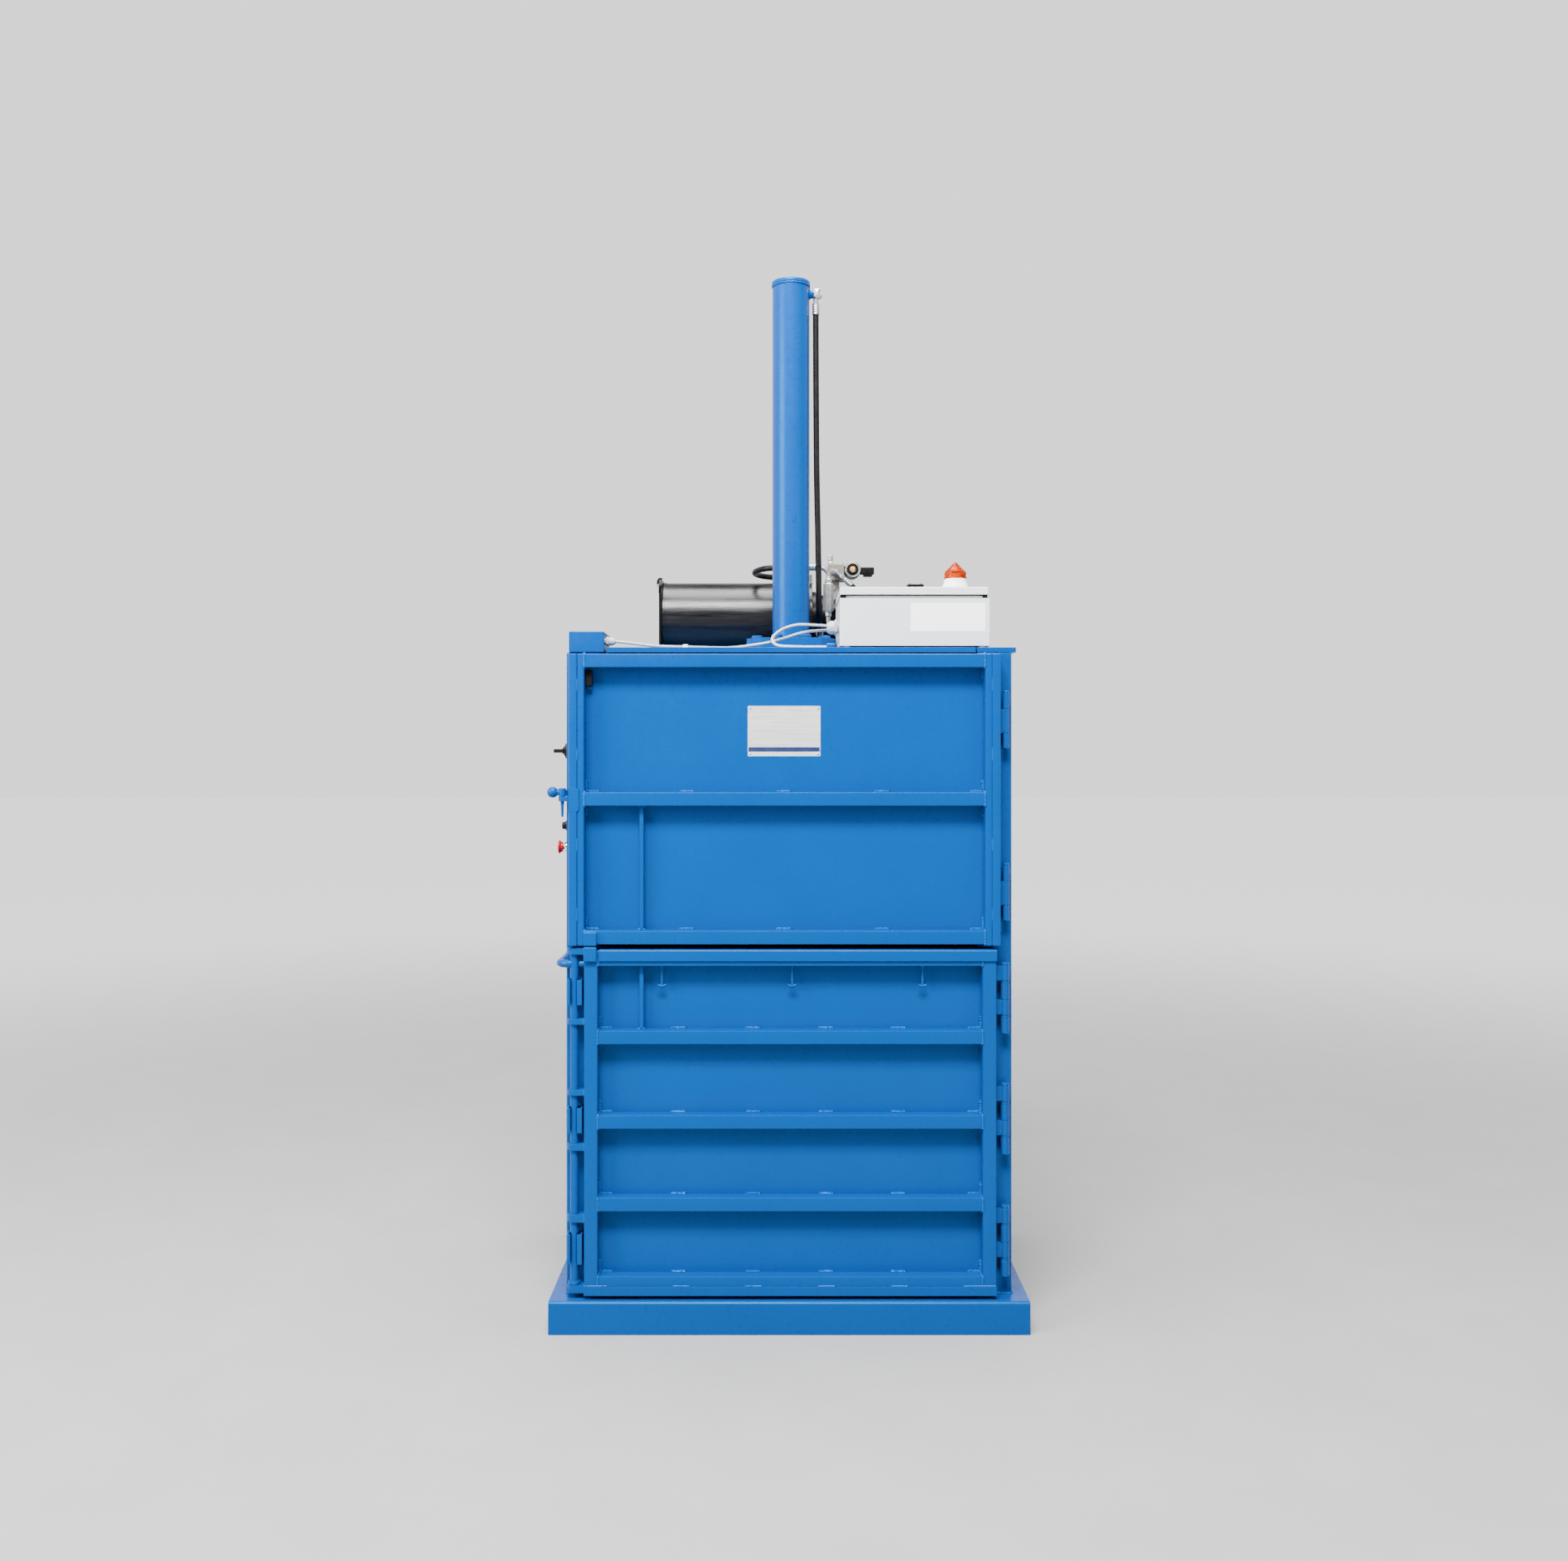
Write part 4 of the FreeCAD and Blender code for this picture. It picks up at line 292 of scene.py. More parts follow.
line("pressure_hose", "rubber", [
    (0.0875, -0.04, 3.05), (0.0885, -0.0415, 2.6), (0.095, -0.044, 2.322),
    (0.097, -0.042, 2.158), (0.101, 0.038, 2.068), (0.105, 0.15, 2.06)],
    "hanging", 1.115, **HOSE)
line("loop_hose", "rubber", [
    (0.062, 0.096, 2.271), (-0.05, 0.097, 2.272), (-0.109, 0.157, 2.268),
    (-0.11, 0.24, 2.265), (-0.051, 0.299, 2.2625), (0.05, 0.3, 2.262)],
    "loose", 0.448, **HOSE)
line("panel_cable", "sheath", [
    (0.115, -0.258, 2.048), (0.07, -0.259, 2.051), (0.02, -0.262, 2.052),
    (-0.028, -0.272, 2.034), (-0.055, -0.288, 2.004), (-0.037, -0.316, 1.983),
    (0.01, -0.337, 1.9792), (0.06, -0.346, 1.9772), (0.11, -0.345, 1.9777)],
    "loose", 0.375, **CABLE)
line("switch_cable", "sheath", [
    (0.115, -0.242, 2.036), (0.075, -0.243, 2.035), (0.03, -0.246, 2.027),
    (-0.017, -0.25, 2.01), (-0.062, -0.254, 1.997), (-0.112, -0.264, 1.989),
    (-0.168, -0.286, 1.9792), (-0.232, -0.318, 1.9772), (-0.3, -0.347, 1.9775),
    (-0.37, -0.366, 1.9772), (-0.425, -0.377, 1.9812), (-0.47, -0.381, 1.988),
    (-0.508, -0.38, 1.991)],
    "loose", 0.653, **CABLE)

# ---- mesh builders

SMOOTH_BELOW = math.radians(44)
SHARP_OVER = 0.6
BALL_ROWS = 16
BEAD_STEP, BEAD_SIDES = 0.0028, 6
BEAD_RIPPLE, BEAD_UNEVEN, BEAD_END = 0.14, 0.1, 0.55
FACING = {"x": (1, 0, 0), "y": (0, 1, 0), "z": (0, 0, 1),
          "-x": (-1, 0, 0), "-y": (0, -1, 0), "-z": (0, 0, -1)}
dice = random.Random(7)


def arc(middle, radius, first, last, steps):
    """Points along an arc in a plane, in metres, from one angle to another in degrees."""
    turns = [math.radians(first + (last - first) * step / steps) for step in range(steps + 1)]
    return [(middle[0] + radius * math.cos(turn), middle[1] + radius * math.sin(turn))
            for turn in turns]


def circle(axis, middle, radius, steps, first=0.0):
    """Evenly spread places around an axis."""
    spots = []
    for step in range(steps):
        turn = math.tau * (step + first) / steps
        across, up = radius * MM * math.cos(turn), radius * MM * math.sin(turn)
        move = {"x": (0, across, up), "y": (across, 0, up), "z": (across, up, 0)}[axis[-1]]
        spots.append(tuple(here + by for here, by in zip(middle, move)))
    return spots


def rounded(low, high, radius, steps=5):
    """A rectangle with round corners, as an outline."""
    radius *= MM
    left, near, right, far = low[0] + radius, low[1] + radius, high[0] - radius, high[1] - radius
    outline = []
    for turn, spot in enumerate(((right, far), (left, far), (left, near), (right, near))):
        outline += arc(spot, radius, 90 * turn, 90 * turn + 90, steps)
    return outline


def inset(low, high, step, radius):
    """A rounded rectangle, drawn in by a step on all sides."""
    return rounded((low[0] + step, low[1] + step), (high[0] - step, high[1] - step), radius)


class Form:
    """The faces of one piece as it is built up."""

    def __init__(self):
        self.mesh = bmesh.new()

    def soften(self, faces, radius, segments=2):
        """Rounds the sharp edges of some faces."""
        bmesh.ops.recalc_face_normals(self.mesh, faces=faces)
        if radius:
            edges = dict.fromkeys(edge for face in faces for edge in face.edges
                                  if edge.is_manifold and edge.calc_face_angle(0) > SHARP_OVER)
            bmesh.ops.bevel(self.mesh, geom=list(edges), offset=radius * MM, segments=segments,
                            profile=0.5, affect="EDGES", clamp_overlap=True)
        return self

    def skin(self, rings, closed=False):
        """Joins rings of places, or single points, one to the next, and closes the ends."""
        rings = [[self.mesh.verts.new(spot) for spot in ring] for ring in rings]
        steps = max(len(ring) for ring in rings)
        faces = []
        for near, far in zip(rings, rings[1:] + rings[:1] if closed else rings[1:]):
            for here in range(steps):
                after = (here + 1) % steps
                corners = [ring[at % len(ring)] for ring, at in
                           ((near, here), (near, after), (far, after), (far, here))]
                corners = list(dict.fromkeys(corners))
                if len(corners) > 2:
                    faces.append(self.mesh.faces.new(corners))
        if not closed:
            faces += [self.mesh.faces.new(end) for end in (rings[0], rings[-1]) if len(end) > 1]
        return self.soften(faces, 0)

    def stack(self, rows, closed=False):
        """A skin through outlines at given heights, all with as many points."""
        return self.skin([[(x, y, level) for x, y in outline] for outline, level in rows], closed)

    def prism(self, axis, outline, start, end, soft=0.0, segments=2):
        """A flat outline given its thickness along an axis."""
        spot = {"x": lambda a, b, c: (c, a, b), "y": lambda a, b, c: (a, c, b),
                "z": lambda a, b, c: (a, b, c)}[axis]
        near, far = [[self.mesh.verts.new(spot(across, up, level)) for across, up in outline]
                     for level in (start, end)]
        faces = [self.mesh.faces.new(near), self.mesh.faces.new(far[::-1])]
        for here, after in zip(range(len(near)), [*range(1, len(near)), 0]):
            faces.append(self.mesh.faces.new((near[after], near[here], far[here], far[after])))
        return self.soften(faces, soft, segments)

    def block(self, low, high, soft=1.5, segments=2):
        """A box with softened edges."""
        outline = [(low[0], low[1]), (high[0], low[1]), (high[0], high[1]), (low[0], high[1])]
        return self.prism("z", outline, low[2], high[2], soft, segments)

    def spun(self, axis, place, rows, steps, ring=True):
        """Rows of (radius, distance along an axis) spun about it as a bored ring."""
        way = Vector(FACING[axis] if isinstance(axis, str) else axis)
        turn = Vector((0, 0, 1)).rotation_difference(way).to_matrix()
        return self.skin([[Vector(place) + turn @ Vector(
            (radius * MM * math.cos(math.tau * step / steps),
             radius * MM * math.sin(math.tau * step / steps), along * MM))
            for step in range(steps if radius else 1)] for radius, along in rows], ring)

    def turned(self, axis, place, rows, steps=24):
        """Rows spun about an axis as a solid, closed on the axis at both ends."""
        first, last = ([(0, along)] if radius else [] for radius, along in (rows[0], rows[-1]))
        return self.spun(axis, place, first + rows + last, steps, False)

    def hexagon(self, axis, place, flats, long):
        """A hexagon nut or head whose corners are turned off at both ends."""
        full, lower = flats / math.sqrt(3), flats / 2 * 0.96
        step = min(long * 0.2, full - lower)
        return self.turned(axis, place, [
            (lower, 0), (full, step), (full, long - step), (lower, long)], 6)

    def crimped(self, axis, place, long, inner, outer, rings=4):
        """A hose ferrule: a sleeve with shallow pressed rings."""
        rows = [(inner, 0), (outer - 0.6, 0.4), (outer, 1)]
        pitch = (long - 4) / rings
        for at in [2 + pitch * ring for ring in range(rings)]:
            rows += [(outer, at), (outer - 0.9, at + pitch * 0.25), (outer - 0.9, at + pitch * 0.6),
                     (outer, at + pitch * 0.85)]
        return self.turned(axis, place, rows + [(outer, long - 1), (outer - 1, long)], 28)

    def ball(self, middle, radius, steps):
        turns = [math.pi * step / BALL_ROWS for step in range(1, BALL_ROWS)]
        rows = [(radius * math.sin(turn), -radius * math.cos(turn)) for turn in turns]
        return self.turned("z", middle, [(0, -radius), *rows, (0, radius)], steps)

    def tube(self, path, radius, sides=12, closed=False):
        """A round bar along a path; the radius is one value or one for each point."""
        path = [Vector(point) for point in path]
        radii = radius if isinstance(radius, list) else [radius] * len(path)
        rings = []
        across = None
        for index, point in enumerate(path):
            before = path[index - 1] if index or closed else point
            after = path[(index + 1) % len(path)] if index < len(path) - 1 or closed else point
            along = (after - before).normalized()
            if across is None:
                across = along.orthogonal().normalized()
            across = (across - along * across.dot(along)).normalized()
            other = along.cross(across)
            rings.append([point + (across * out + other * up) * radii[index]
                          for out, up, _ in circle("z", (0, 0, 0), 1, sides)])
        return self.skin(rings, closed)

    def bead(self, radius, *path):
        """A weld bead along straight runs: a rippled, slightly uneven cord."""
        points, radii = [], []
        path = [Vector(point) for point in path]
        for start, end in zip(path, path[1:]):
            count = max(2, round((end - start).length / BEAD_STEP))
            for step in range(1 if points else 0, count + 1):
                wander = Vector([dice.uniform(-1, 1) for axis in "xyz"])
                points.append(start.lerp(end, step / count) + wander * radius * MM * BEAD_UNEVEN)
                radii.append(radius * (1 + BEAD_RIPPLE * (-1) ** len(points)
                                       + dice.uniform(-BEAD_UNEVEN, BEAD_UNEVEN)))
        radii[0] *= BEAD_END
        radii[-1] *= BEAD_END
        return self.tube(points, radii, BEAD_SIDES)

    def stitch(self, radius, axis, middle, half):
        """A straight bead to both sides of its middle."""
        reach = Vector(FACING[axis]) * half
        return self.bead(radius, Vector(middle) - reach, Vector(middle) + reach)

    def bead_ring(self, radius, axis, middle, reach, steps):
        spots = circle(axis, middle, reach, steps)
        return self.bead(radius, *spots, spots[0])


def piece(name, form, look, *stands_for, body="frame", slot=None):
    """Makes one named piece of a form, with its finish and its body."""
    material, usual_slot = FINISHES[look]
    data = bpy.data.meshes.new(name)
    form.mesh.to_mesh(data)
    form.mesh.free()
    data.materials.append(material)
    data.polygons.foreach_set("use_smooth", [True] * len(data.polygons))
    data.set_sharp_from_angle(angle=SMOOTH_BELOW)
    made = put(name, data)
    made.modifiers.new("Even shading", "WEIGHTED_NORMAL").keep_sharp = True
    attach(made, frame["nodes"][stands_for[0]]["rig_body"] if stands_for else body)
    if stands_for:
        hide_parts(*stands_for)


def soften_node(name, node, look, radius):
    """A copy of a CAD node with rounded edges, which stands for the node."""
    form = Form()
    mesh = form.mesh
    mesh.from_mesh(frame["nodes"][node].data)
    bmesh.ops.remove_doubles(mesh, verts=mesh.verts, dist=1e-6)
    bmesh.ops.dissolve_limit(mesh, angle_limit=0.01, verts=mesh.verts, edges=mesh.edges)
    piece(name, form.soften(list(mesh.faces), radius), look, node)


# ---- places taken from the frame

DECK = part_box("base_frame")[1].z
ROOF_UNDER, ROOF = (end.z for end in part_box("top_plate"))
POST_FACE, REAR = (end.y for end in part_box("right_side_frame"))
REAR_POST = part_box("rear_sheet")[0].y
POST = 0.1
POSTS = ((POST_FACE, POST_FACE + POST), (REAR_POST, REAR))
FLANKS = (POST_FACE + POST, REAR_POST)  # the posts' sides that face each other
PANEL_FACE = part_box("upper_door_sheet")[0].y
DOOR_FACE = PANEL_FACE - 0.046
STRIP_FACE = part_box("left_side_frame")[0].y - 0.055
INNER = -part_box("left_side_sheet")[1].x
HALF = INNER + POST
SHEET = 0.004
TUBE_ROUND = 4.5

# ---- side frames and rear

RIB = 0.06
RIBS = [(0.11 + 0.312 * number, 0.11 + 0.312 * number + RIB) for number in range(6)]
STITCH, STITCH_HALF = 2.8, 0.022


def side_frame(name, side):
    """One side's posts, channels and top strip, with their beads."""
    form, welds = Form(), Form()
    inner, half, skin, outer = [side * x for x in (INNER, HALF, INNER + SHEET, INNER + SHEET + RIB)]
    left, right = sorted((inner, half))
    for front, back in POSTS:
        form.block((left, front, DECK), (right, back, ROOF_UNDER), TUBE_ROUND)
    near, far = sorted((skin, outer))
    for low, high in RIBS:
        form.block((near, FLANKS[0] - 0.002, low), (far, FLANKS[1] + 0.002, high), TUBE_ROUND)
    low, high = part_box(name + "_side_frame")
    if side < 0:
        form.block((left, -0.25, ROOF_UNDER), (right, REAR, ROOF))
        form.block((low.x, -0.382, 1.539), (left + 0.001, -0.362, 1.557), 1)
    else:
        form.block((left, POST_FACE, ROOF_UNDER), (high.x, REAR, ROOF))
    piece(name + "_side_frame_steel", form, "blue", name + "_side_frame")
    for low, high in RIBS:
        for y in FLANKS:
            welds.bead(3, (outer, y, low), (outer, y, high))
            for level in (low, high):
                welds.bead(3, (outer, y, level), (skin, y, level))
        for middle, level in product((-0.24, -0.08, 0.08, 0.24), (low, high)):
            welds.stitch(STITCH, "y", (skin, middle, level), STITCH_HALF)
    for (_, low), (high, _) in zip(RIBS, RIBS[1:]):
        for y, share in product(FLANKS, (0.3, 0.7)):
            welds.stitch(STITCH, "z", (skin, y, low + (high - low) * share), 0.018)
    for front, back in POSTS:
        welds.bead(4, (half, front, DECK), (half, back, DECK))
    for y in (POST_FACE, REAR):
        welds.bead(4, (inner, y, DECK), (half, y, DECK))
    welds.bead(2.2, (half, POST_FACE + 0.2, ROOF_UNDER), (half, REAR - 0.01, ROOF_UNDER))
    piece(name + "_welds", welds, "weld_highlight_blue")


def rear_channels():
    """Six channels behind the rear sheet, with their beads."""
    form, welds = Form(), Form()
    skin, outer = REAR_POST + SHEET, REAR_POST + SHEET + RIB
    for low, high in RIBS:
        form.block((-INNER, skin, low), (INNER, outer, high), TUBE_ROUND)
        for x in (-INNER, INNER):
            welds.bead(3, (x, outer, low), (x, outer, high))
            welds.bead(3, (x, outer, high), (x, skin, high))
        for middle, level in product((-0.42, -0.21, 0, 0.21, 0.42), (low, high)):
            welds.stitch(STITCH, "x", (middle, skin, level), STITCH_HALF)
    piece("rear_channels", form, "blue", "rear_ribs")
    piece("rear_welds", welds, "weld_highlight_blue")


side_frame("left", -1)
side_frame("right", 1)
rear_channels()
soften_node("base_pan", "base_frame", "blue", 1.8)
soften_node("roof_plate", "top_plate", "blue", 1.8)

# ---- doors

UPPER_LOW, UPPER_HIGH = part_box("upper_door_sheet")
LOWER_LOW, LOWER_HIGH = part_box("lower_door_sheet")
STRIP, STILE, TUBE = 0.025, 0.02, 0.04
RAIL_IN = 0.002
UPPER_RAILS = [(low, low + TUBE) for low in (1.91, 1.512, 1.114)]
LOWER_RAILS = [(low, low + TUBE) for low in (0.827, 0.584, 0.347, 0.121)] + [(1.052, 1.094)]
SLIM_RIB = (-0.432, -0.42)
SLIM_FACE = PANEL_FACE - 0.025
TAB = (-0.59, -0.552)
TACK = 5.5
TACK_FACE = PANEL_FACE - 0.004


def rail(form, welds, left, right, low, high):
    """A rail, with flat beads over its ends and lumps above and below them."""
    form.block((left - RAIL_IN, DOOR_FACE, low), (right + RAIL_IN, PANEL_FACE, high), TUBE_ROUND)
    for x in (left, right):
        seam = DOOR_FACE + 0.0012
        welds.bead(3.4, (x, seam, low - 0.001), (x, seam, high + 0.001))
        for level in (low, high):
            welds.bead(3.6, (x, DOOR_FACE + 0.001, level), (x, TACK_FACE, level))


def slim_rib(form, welds, low, high, end):
    form.block((SLIM_RIB[0], SLIM_FACE, low), (SLIM_RIB[1], PANEL_FACE, end), 2)
    for x, level in product(SLIM_RIB, (low, high)):
        welds.bead(4.5, (x, SLIM_FACE, level), (x, TACK_FACE, level))


def tab(form, node, low, high):
    form.block((TAB[0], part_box(node)[0].y, low), (TAB[1], DOOR_FACE, high), 3.5, 3)


def panel_tacks(welds, left, right, level, middles):
    """Short beads along a panel's lower edge and up from its two corners."""
    y = TACK_FACE
    for middle in middles:
        welds.stitch(TACK, "x", (middle, y, level), STITCH_HALF)
    for x, inward in ((left, 0.038), (right, -0.038)):
        welds.bead(TACK, (x, y, level + 0.0352), (x, y, level), (x + inward, y, level))


def upper_door():
    """The upper door's tubes, slim rib, tab and latch pad, with their beads."""
    form, welds = Form(), Form()
    (left, _, low), (right, _, high) = UPPER_LOW, UPPER_HIGH
    outer = (left + STRIP, right - STRIP)
    inner = (outer[0] + STILE, outer[1] - STILE)
    for face, start, end in ((STRIP_FACE, left, outer[0]), (STRIP_FACE, outer[1], right),
                             (DOOR_FACE, outer[0] - 0.001, inner[0]),
                             (DOOR_FACE, inner[1], outer[1] + 0.001)):
        form.block((start, face, low), (end, PANEL_FACE, high), TUBE_ROUND)
    for ends in UPPER_RAILS:
        rail(form, welds, *inner, *ends)
    top, middle, bottom = UPPER_RAILS
    slim_rib(form, welds, bottom[1], middle[0], middle[0])
    tab(form, "upper_door_frame", 1.111, 1.151)
    form.prism("y", [(-0.634, 1.496), (-0.609, 1.496), (-0.604, 1.501), (-0.604, 1.558),
                     (-0.609, 1.563), (-0.634, 1.563)], STRIP_FACE - 0.0005, DOOR_FACE, 1)
    for level in (middle[1], bottom[1]):
        panel_tacks(welds, *inner, level, (-0.297, -0.016, 0.269))
    for level, x in product((top[0], middle[0]), inner):
        welds.bead(TACK, (x, TACK_FACE, level - 0.034), (x, TACK_FACE, level - 0.004))
    for x, level in product(outer, (1.2, 1.4, 1.66, 1.86)):
        welds.stitch(1.8, "z", (x, DOOR_FACE, level), 0.018)
    welds.bead(3, (TAB[0] + 0.001, DOOR_FACE, 1.151), (TAB[1] - 0.001, DOOR_FACE, 1.151))
    welds.bead(3, (TAB[1], DOOR_FACE, 1.15), (TAB[1], DOOR_FACE, 1.118))
    piece("upper_door_tubes", form, "blue", "upper_door_frame")
    piece("upper_door_welds", welds, "weld_highlight_blue", body="upper_door")


def lower_door():
    """The lower door's tubes, slim rib, foot bar and tab, with their beads."""
    form, welds = Form(), Form()
    left, right, foot = LOWER_LOW.x, LOWER_HIGH.x, LOWER_LOW.z
    inner = (left + TUBE, right - TUBE)
    low, high = LOWER_RAILS[-2][0], LOWER_RAILS[-1][1]
    for start, end in ((left, inner[0]), (inner[1], right)):
        form.block((start, DOOR_FACE, low), (end, PANEL_FACE, high), TUBE_ROUND)
    for bottom, top in LOWER_RAILS:
        rail(form, welds, *inner, bottom, top)
        if top < high:
            panel_tacks(welds, *inner, top, (-0.321, -0.105, 0.107, 0.316))
            for x in inner:
                welds.bead(TACK, (x, TACK_FACE, bottom - 0.026), (x, TACK_FACE, bottom - 0.004))
    slim_rib(form, welds, LOWER_RAILS[0][1], LOWER_RAILS[-1][0], high - 0.04)
    form.block((left, DOOR_FACE - 0.005, foot), (right, DOOR_FACE, 0.133), 1.2)
    form.block((left, DOOR_FACE, foot), (right, PANEL_FACE, low + 0.001), 1)
    for start, end in ((-0.59, -0.522), (-0.334, -0.284), (-0.128, -0.078), (0.082, 0.132),
                       (0.292, 0.342), (0.5, 0.594)):
        welds.bead(3.4, (start, DOOR_FACE - 0.001, 0.134), (end, DOOR_FACE - 0.001, 0.134))
    tab(form, "lower_door_frame", 1.066, 1.108)
    piece("lower_door_tubes", form, "blue", "lower_door_frame")
    piece("lower_door_welds", welds, "weld_highlight_blue", body="lower_door")


LOCK_PLACE = (-0.62, -0.437)
LEVER_LEVEL = 1.056
EARS = ((1.094, 0.019), (0.891, 0.016), (0.687, 0.016), (0.53, 0.019), (0.325, 0.022),
        (0.122, 0.022))
EAR_ROUND = 0.02


def lock_ears():
    """Six lugs on the lower door's left edge, and the lever's peg."""
    form, welds = Form(), Form()
    x, y = LOCK_PLACE
    edge = LOWER_LOW.x
    front, back = y - EAR_ROUND, y + EAR_ROUND
    outline = arc(LOCK_PLACE, EAR_ROUND, 90, 270, 12)
    outline += [(edge + 0.001, front), (edge + 0.001, back)]
    for middle, thick in EARS:
        low, high = middle - thick / 2, middle + thick / 2
        form.prism("z", outline, low, high, 1.5)
        for level in (low, high):
            welds.bead(3.4, (edge, front, level), (edge, back, level))
        welds.bead(3, (edge, front - 0.0005, low), (edge, front - 0.0005, high))
    peg = x + 0.0138
    long = (edge - peg + 0.002) / MM
    form.turned("x", (peg, y, LEVER_LEVEL), [(8.5, 0), (10, 1.5), (10, long)])
    welds.bead_ring(2.8, "x", (edge, y, LEVER_LEVEL), 10, 10)
    piece("lock_ears", form, "blue", body="lower_door")
    piece("lock_ear_welds", welds, "weld_highlight_blue", body="lower_door")


def hooks():
    """Three hooks: rods from blobs of weld, with a bar across their ends."""
    form = Form()
    y = PANEL_FACE - 0.022
    top, end = LOWER_RAILS[-1][0] + 0.002, 0.9925
    for x in (-0.367, 0.009, 0.385):
        levels = (top, top - 0.003, top - 0.007, top - 0.013, end + 0.004, end)
        form.tube([(x, y, level) for level in levels], [9, 8.8, 6.2, 3.6, 3.4, 3.4], 14)
        for side in (-1, 1):
            form.tube([(x + side * out, y, end + up) for out, up in (
                (0, -0.0008), (0.006, 0.0002), (0.0115, 0.0034), (0.0125, 0.0042))],
                [3.8, 3.6, 3.0, 1.8], 12)
        form.ball((x, y, end), 4.6, 14)
    piece("hooks", form, "blue", "strap_hooks")


def door_lip():
    """The folded lip along the lower door's top, with a round nose."""
    low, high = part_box("lower_door_lip")
    thick = 0.006
    outline = [(low.y, low.z + 0.001), (low.y + 0.001, low.z), (low.y + thick, low.z),
               (low.y + thick, high.z - thick), (high.y, high.z - thick), (high.y, high.z)]
    outline += arc((low.y + thick, high.z - thick), thick, 90, 180, 6)
    form = Form().prism("x", outline, low.x, high.x)
    for x in (-0.3, -0.02, 0.26, 0.5):
        form.stitch(3, "x", (x, DOOR_FACE - 0.001, low.z), 0.016)
    piece("door_lip", form, "blue", "lower_door_lip")


for build in (upper_door, lower_door, lock_ears, hooks, door_lip):
    build()

# ---- press cylinder

CYLINDER = (0.009, -0.04)
BARREL = 58.5
FLANGE_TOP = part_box("cylinder_flange")[1].z


def cylinder():
    """The barrel, its cap with two bosses, the weld rings at both ends and the flange."""
    low, top = (end.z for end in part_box("cylinder_tube"))
    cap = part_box("cylinder_head")[1].z
    long = (top - low) / MM
    piece("cylinder_barrel", Form().turned("z", (*CYLINDER, low), [
        (BARREL - 2, 0), (BARREL, 2), (BARREL, long - 8), (BARREL - 3, long - 4),
        (BARREL - 3, long)], 96), "blue", "cylinder_tube")
    tall = (cap - top) / MM
    boss = tall - 18
    head = Form().turned("z", (*CYLINDER, top), [
        (59, 0), (61, 2), (61, boss - 3), (59, boss - 0.6), (57.5, boss), (18, boss),
        (13, boss + 4), (13, tall - 3), (10.5, tall)], 96)
    for spot in circle("z", (*CYLINDER, cap - 0.018), 44, 2, 0.25):
        head.turned("z", spot, [(6, -1), (6, 1.6), (4, 2.4)], 18)
    piece("cylinder_cap", head, "blue", "cylinder_head")
    welds = Form().bead_ring(3.2, "z", (*CYLINDER, top - 0.002), BARREL - 1, 60)
    welds.bead_ring(3.2, "z", (*CYLINDER, FLANGE_TOP + 0.001), BARREL + 1, 60)
    piece("cylinder_welds", welds, "weld_highlight_blue")
    soften_node("mounting_flange", "cylinder_flange", "blue", 2.2)


def flange_bolts():
    """The flange's eight bolts on washers, with nuts under the roof."""
    form = Form()
    for x, y, top in circle("z", (*CYLINDER, FLANGE_TOP), 115, 8, 0.5):
        form.turned("z", (x, y, top), [(17.2, 0), (17.8, 0.6), (17.8, 2), (17.2, 2.6)], 28)
        form.hexagon("z", (x, y, top + 0.0026), 30, 10.4)
        form.turned("z", (x, y, ROOF_UNDER - 0.02), [(9, 0), (10, 1), (10, 20)], 20)
        form.hexagon("z", (x, y, ROOF_UNDER - 0.012), 30, 12)
    piece("mounting_bolts", form, "blue", "flange_bolts")


def port():
    """The upper port: a boss, a banjo bolt and the hose's crimped end."""
    x, y, z = 0.0875, CYLINDER[1], 3.116
    near = CYLINDER[0] + BARREL * MM - 0.004
    boss = Form().turned("x", (near, y, z), [
        (16.5, 0), (14.5, 5), (14, 8), (14, 16.5), (12.8, 17.8)], 32)
    boss.bead_ring(2.2, "x", (near + 0.0045, y, z), 15.5, 22)
    piece("port_boss", boss, "blue", "port_fitting")
    form = Form().turned("x", (0.081, y, z), [(14.5, 0), (15, 0.5), (15, 1.5), (14.5, 2)], 28)
    form.turned("z", (x + 0.0035, y, z - 0.0165), [
        (10, 1), (14.5, 4), (16, 10), (16, 23), (14.5, 29), (10, 32)], 28)
    form.turned("x", (0.0985, y, z), [(13.5, 0), (13.5, 1.5)], 28)
    form.hexagon("x", (0.0995, y, z), 23.5, 7.5)
    form.turned("-z", (x, y, z - 0.013), [(8.8, 0), (7.5, 6), (7.5, 14), (9.5, 16), (9.5, 20)])
    form.crimped("-z", (x, y, z - 0.032), 34, 9, 11.5)
    piece("port_banjo", form, "zinc")


# ---- boxes on the roof

SHELL_LOW, SHELL_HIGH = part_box("enclosure_body")
LID_LOW, LID_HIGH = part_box("enclosure_lid")
SHELL_FOOT, SHELL_TOP, NECK_TOP = 1.983, 2.124, 2.1345
WALL, NECK, SKIRT = 0.002, 0.012, 0.0018


def grown(outline, step):
    """A convex outline pushed out from its middle by a step along both axes."""
    middle = [sum(way) / len(outline) for way in zip(*outline)]
    return [tuple(at + math.copysign(step, at - here) for at, here in zip(spot, middle))
            for spot in outline]


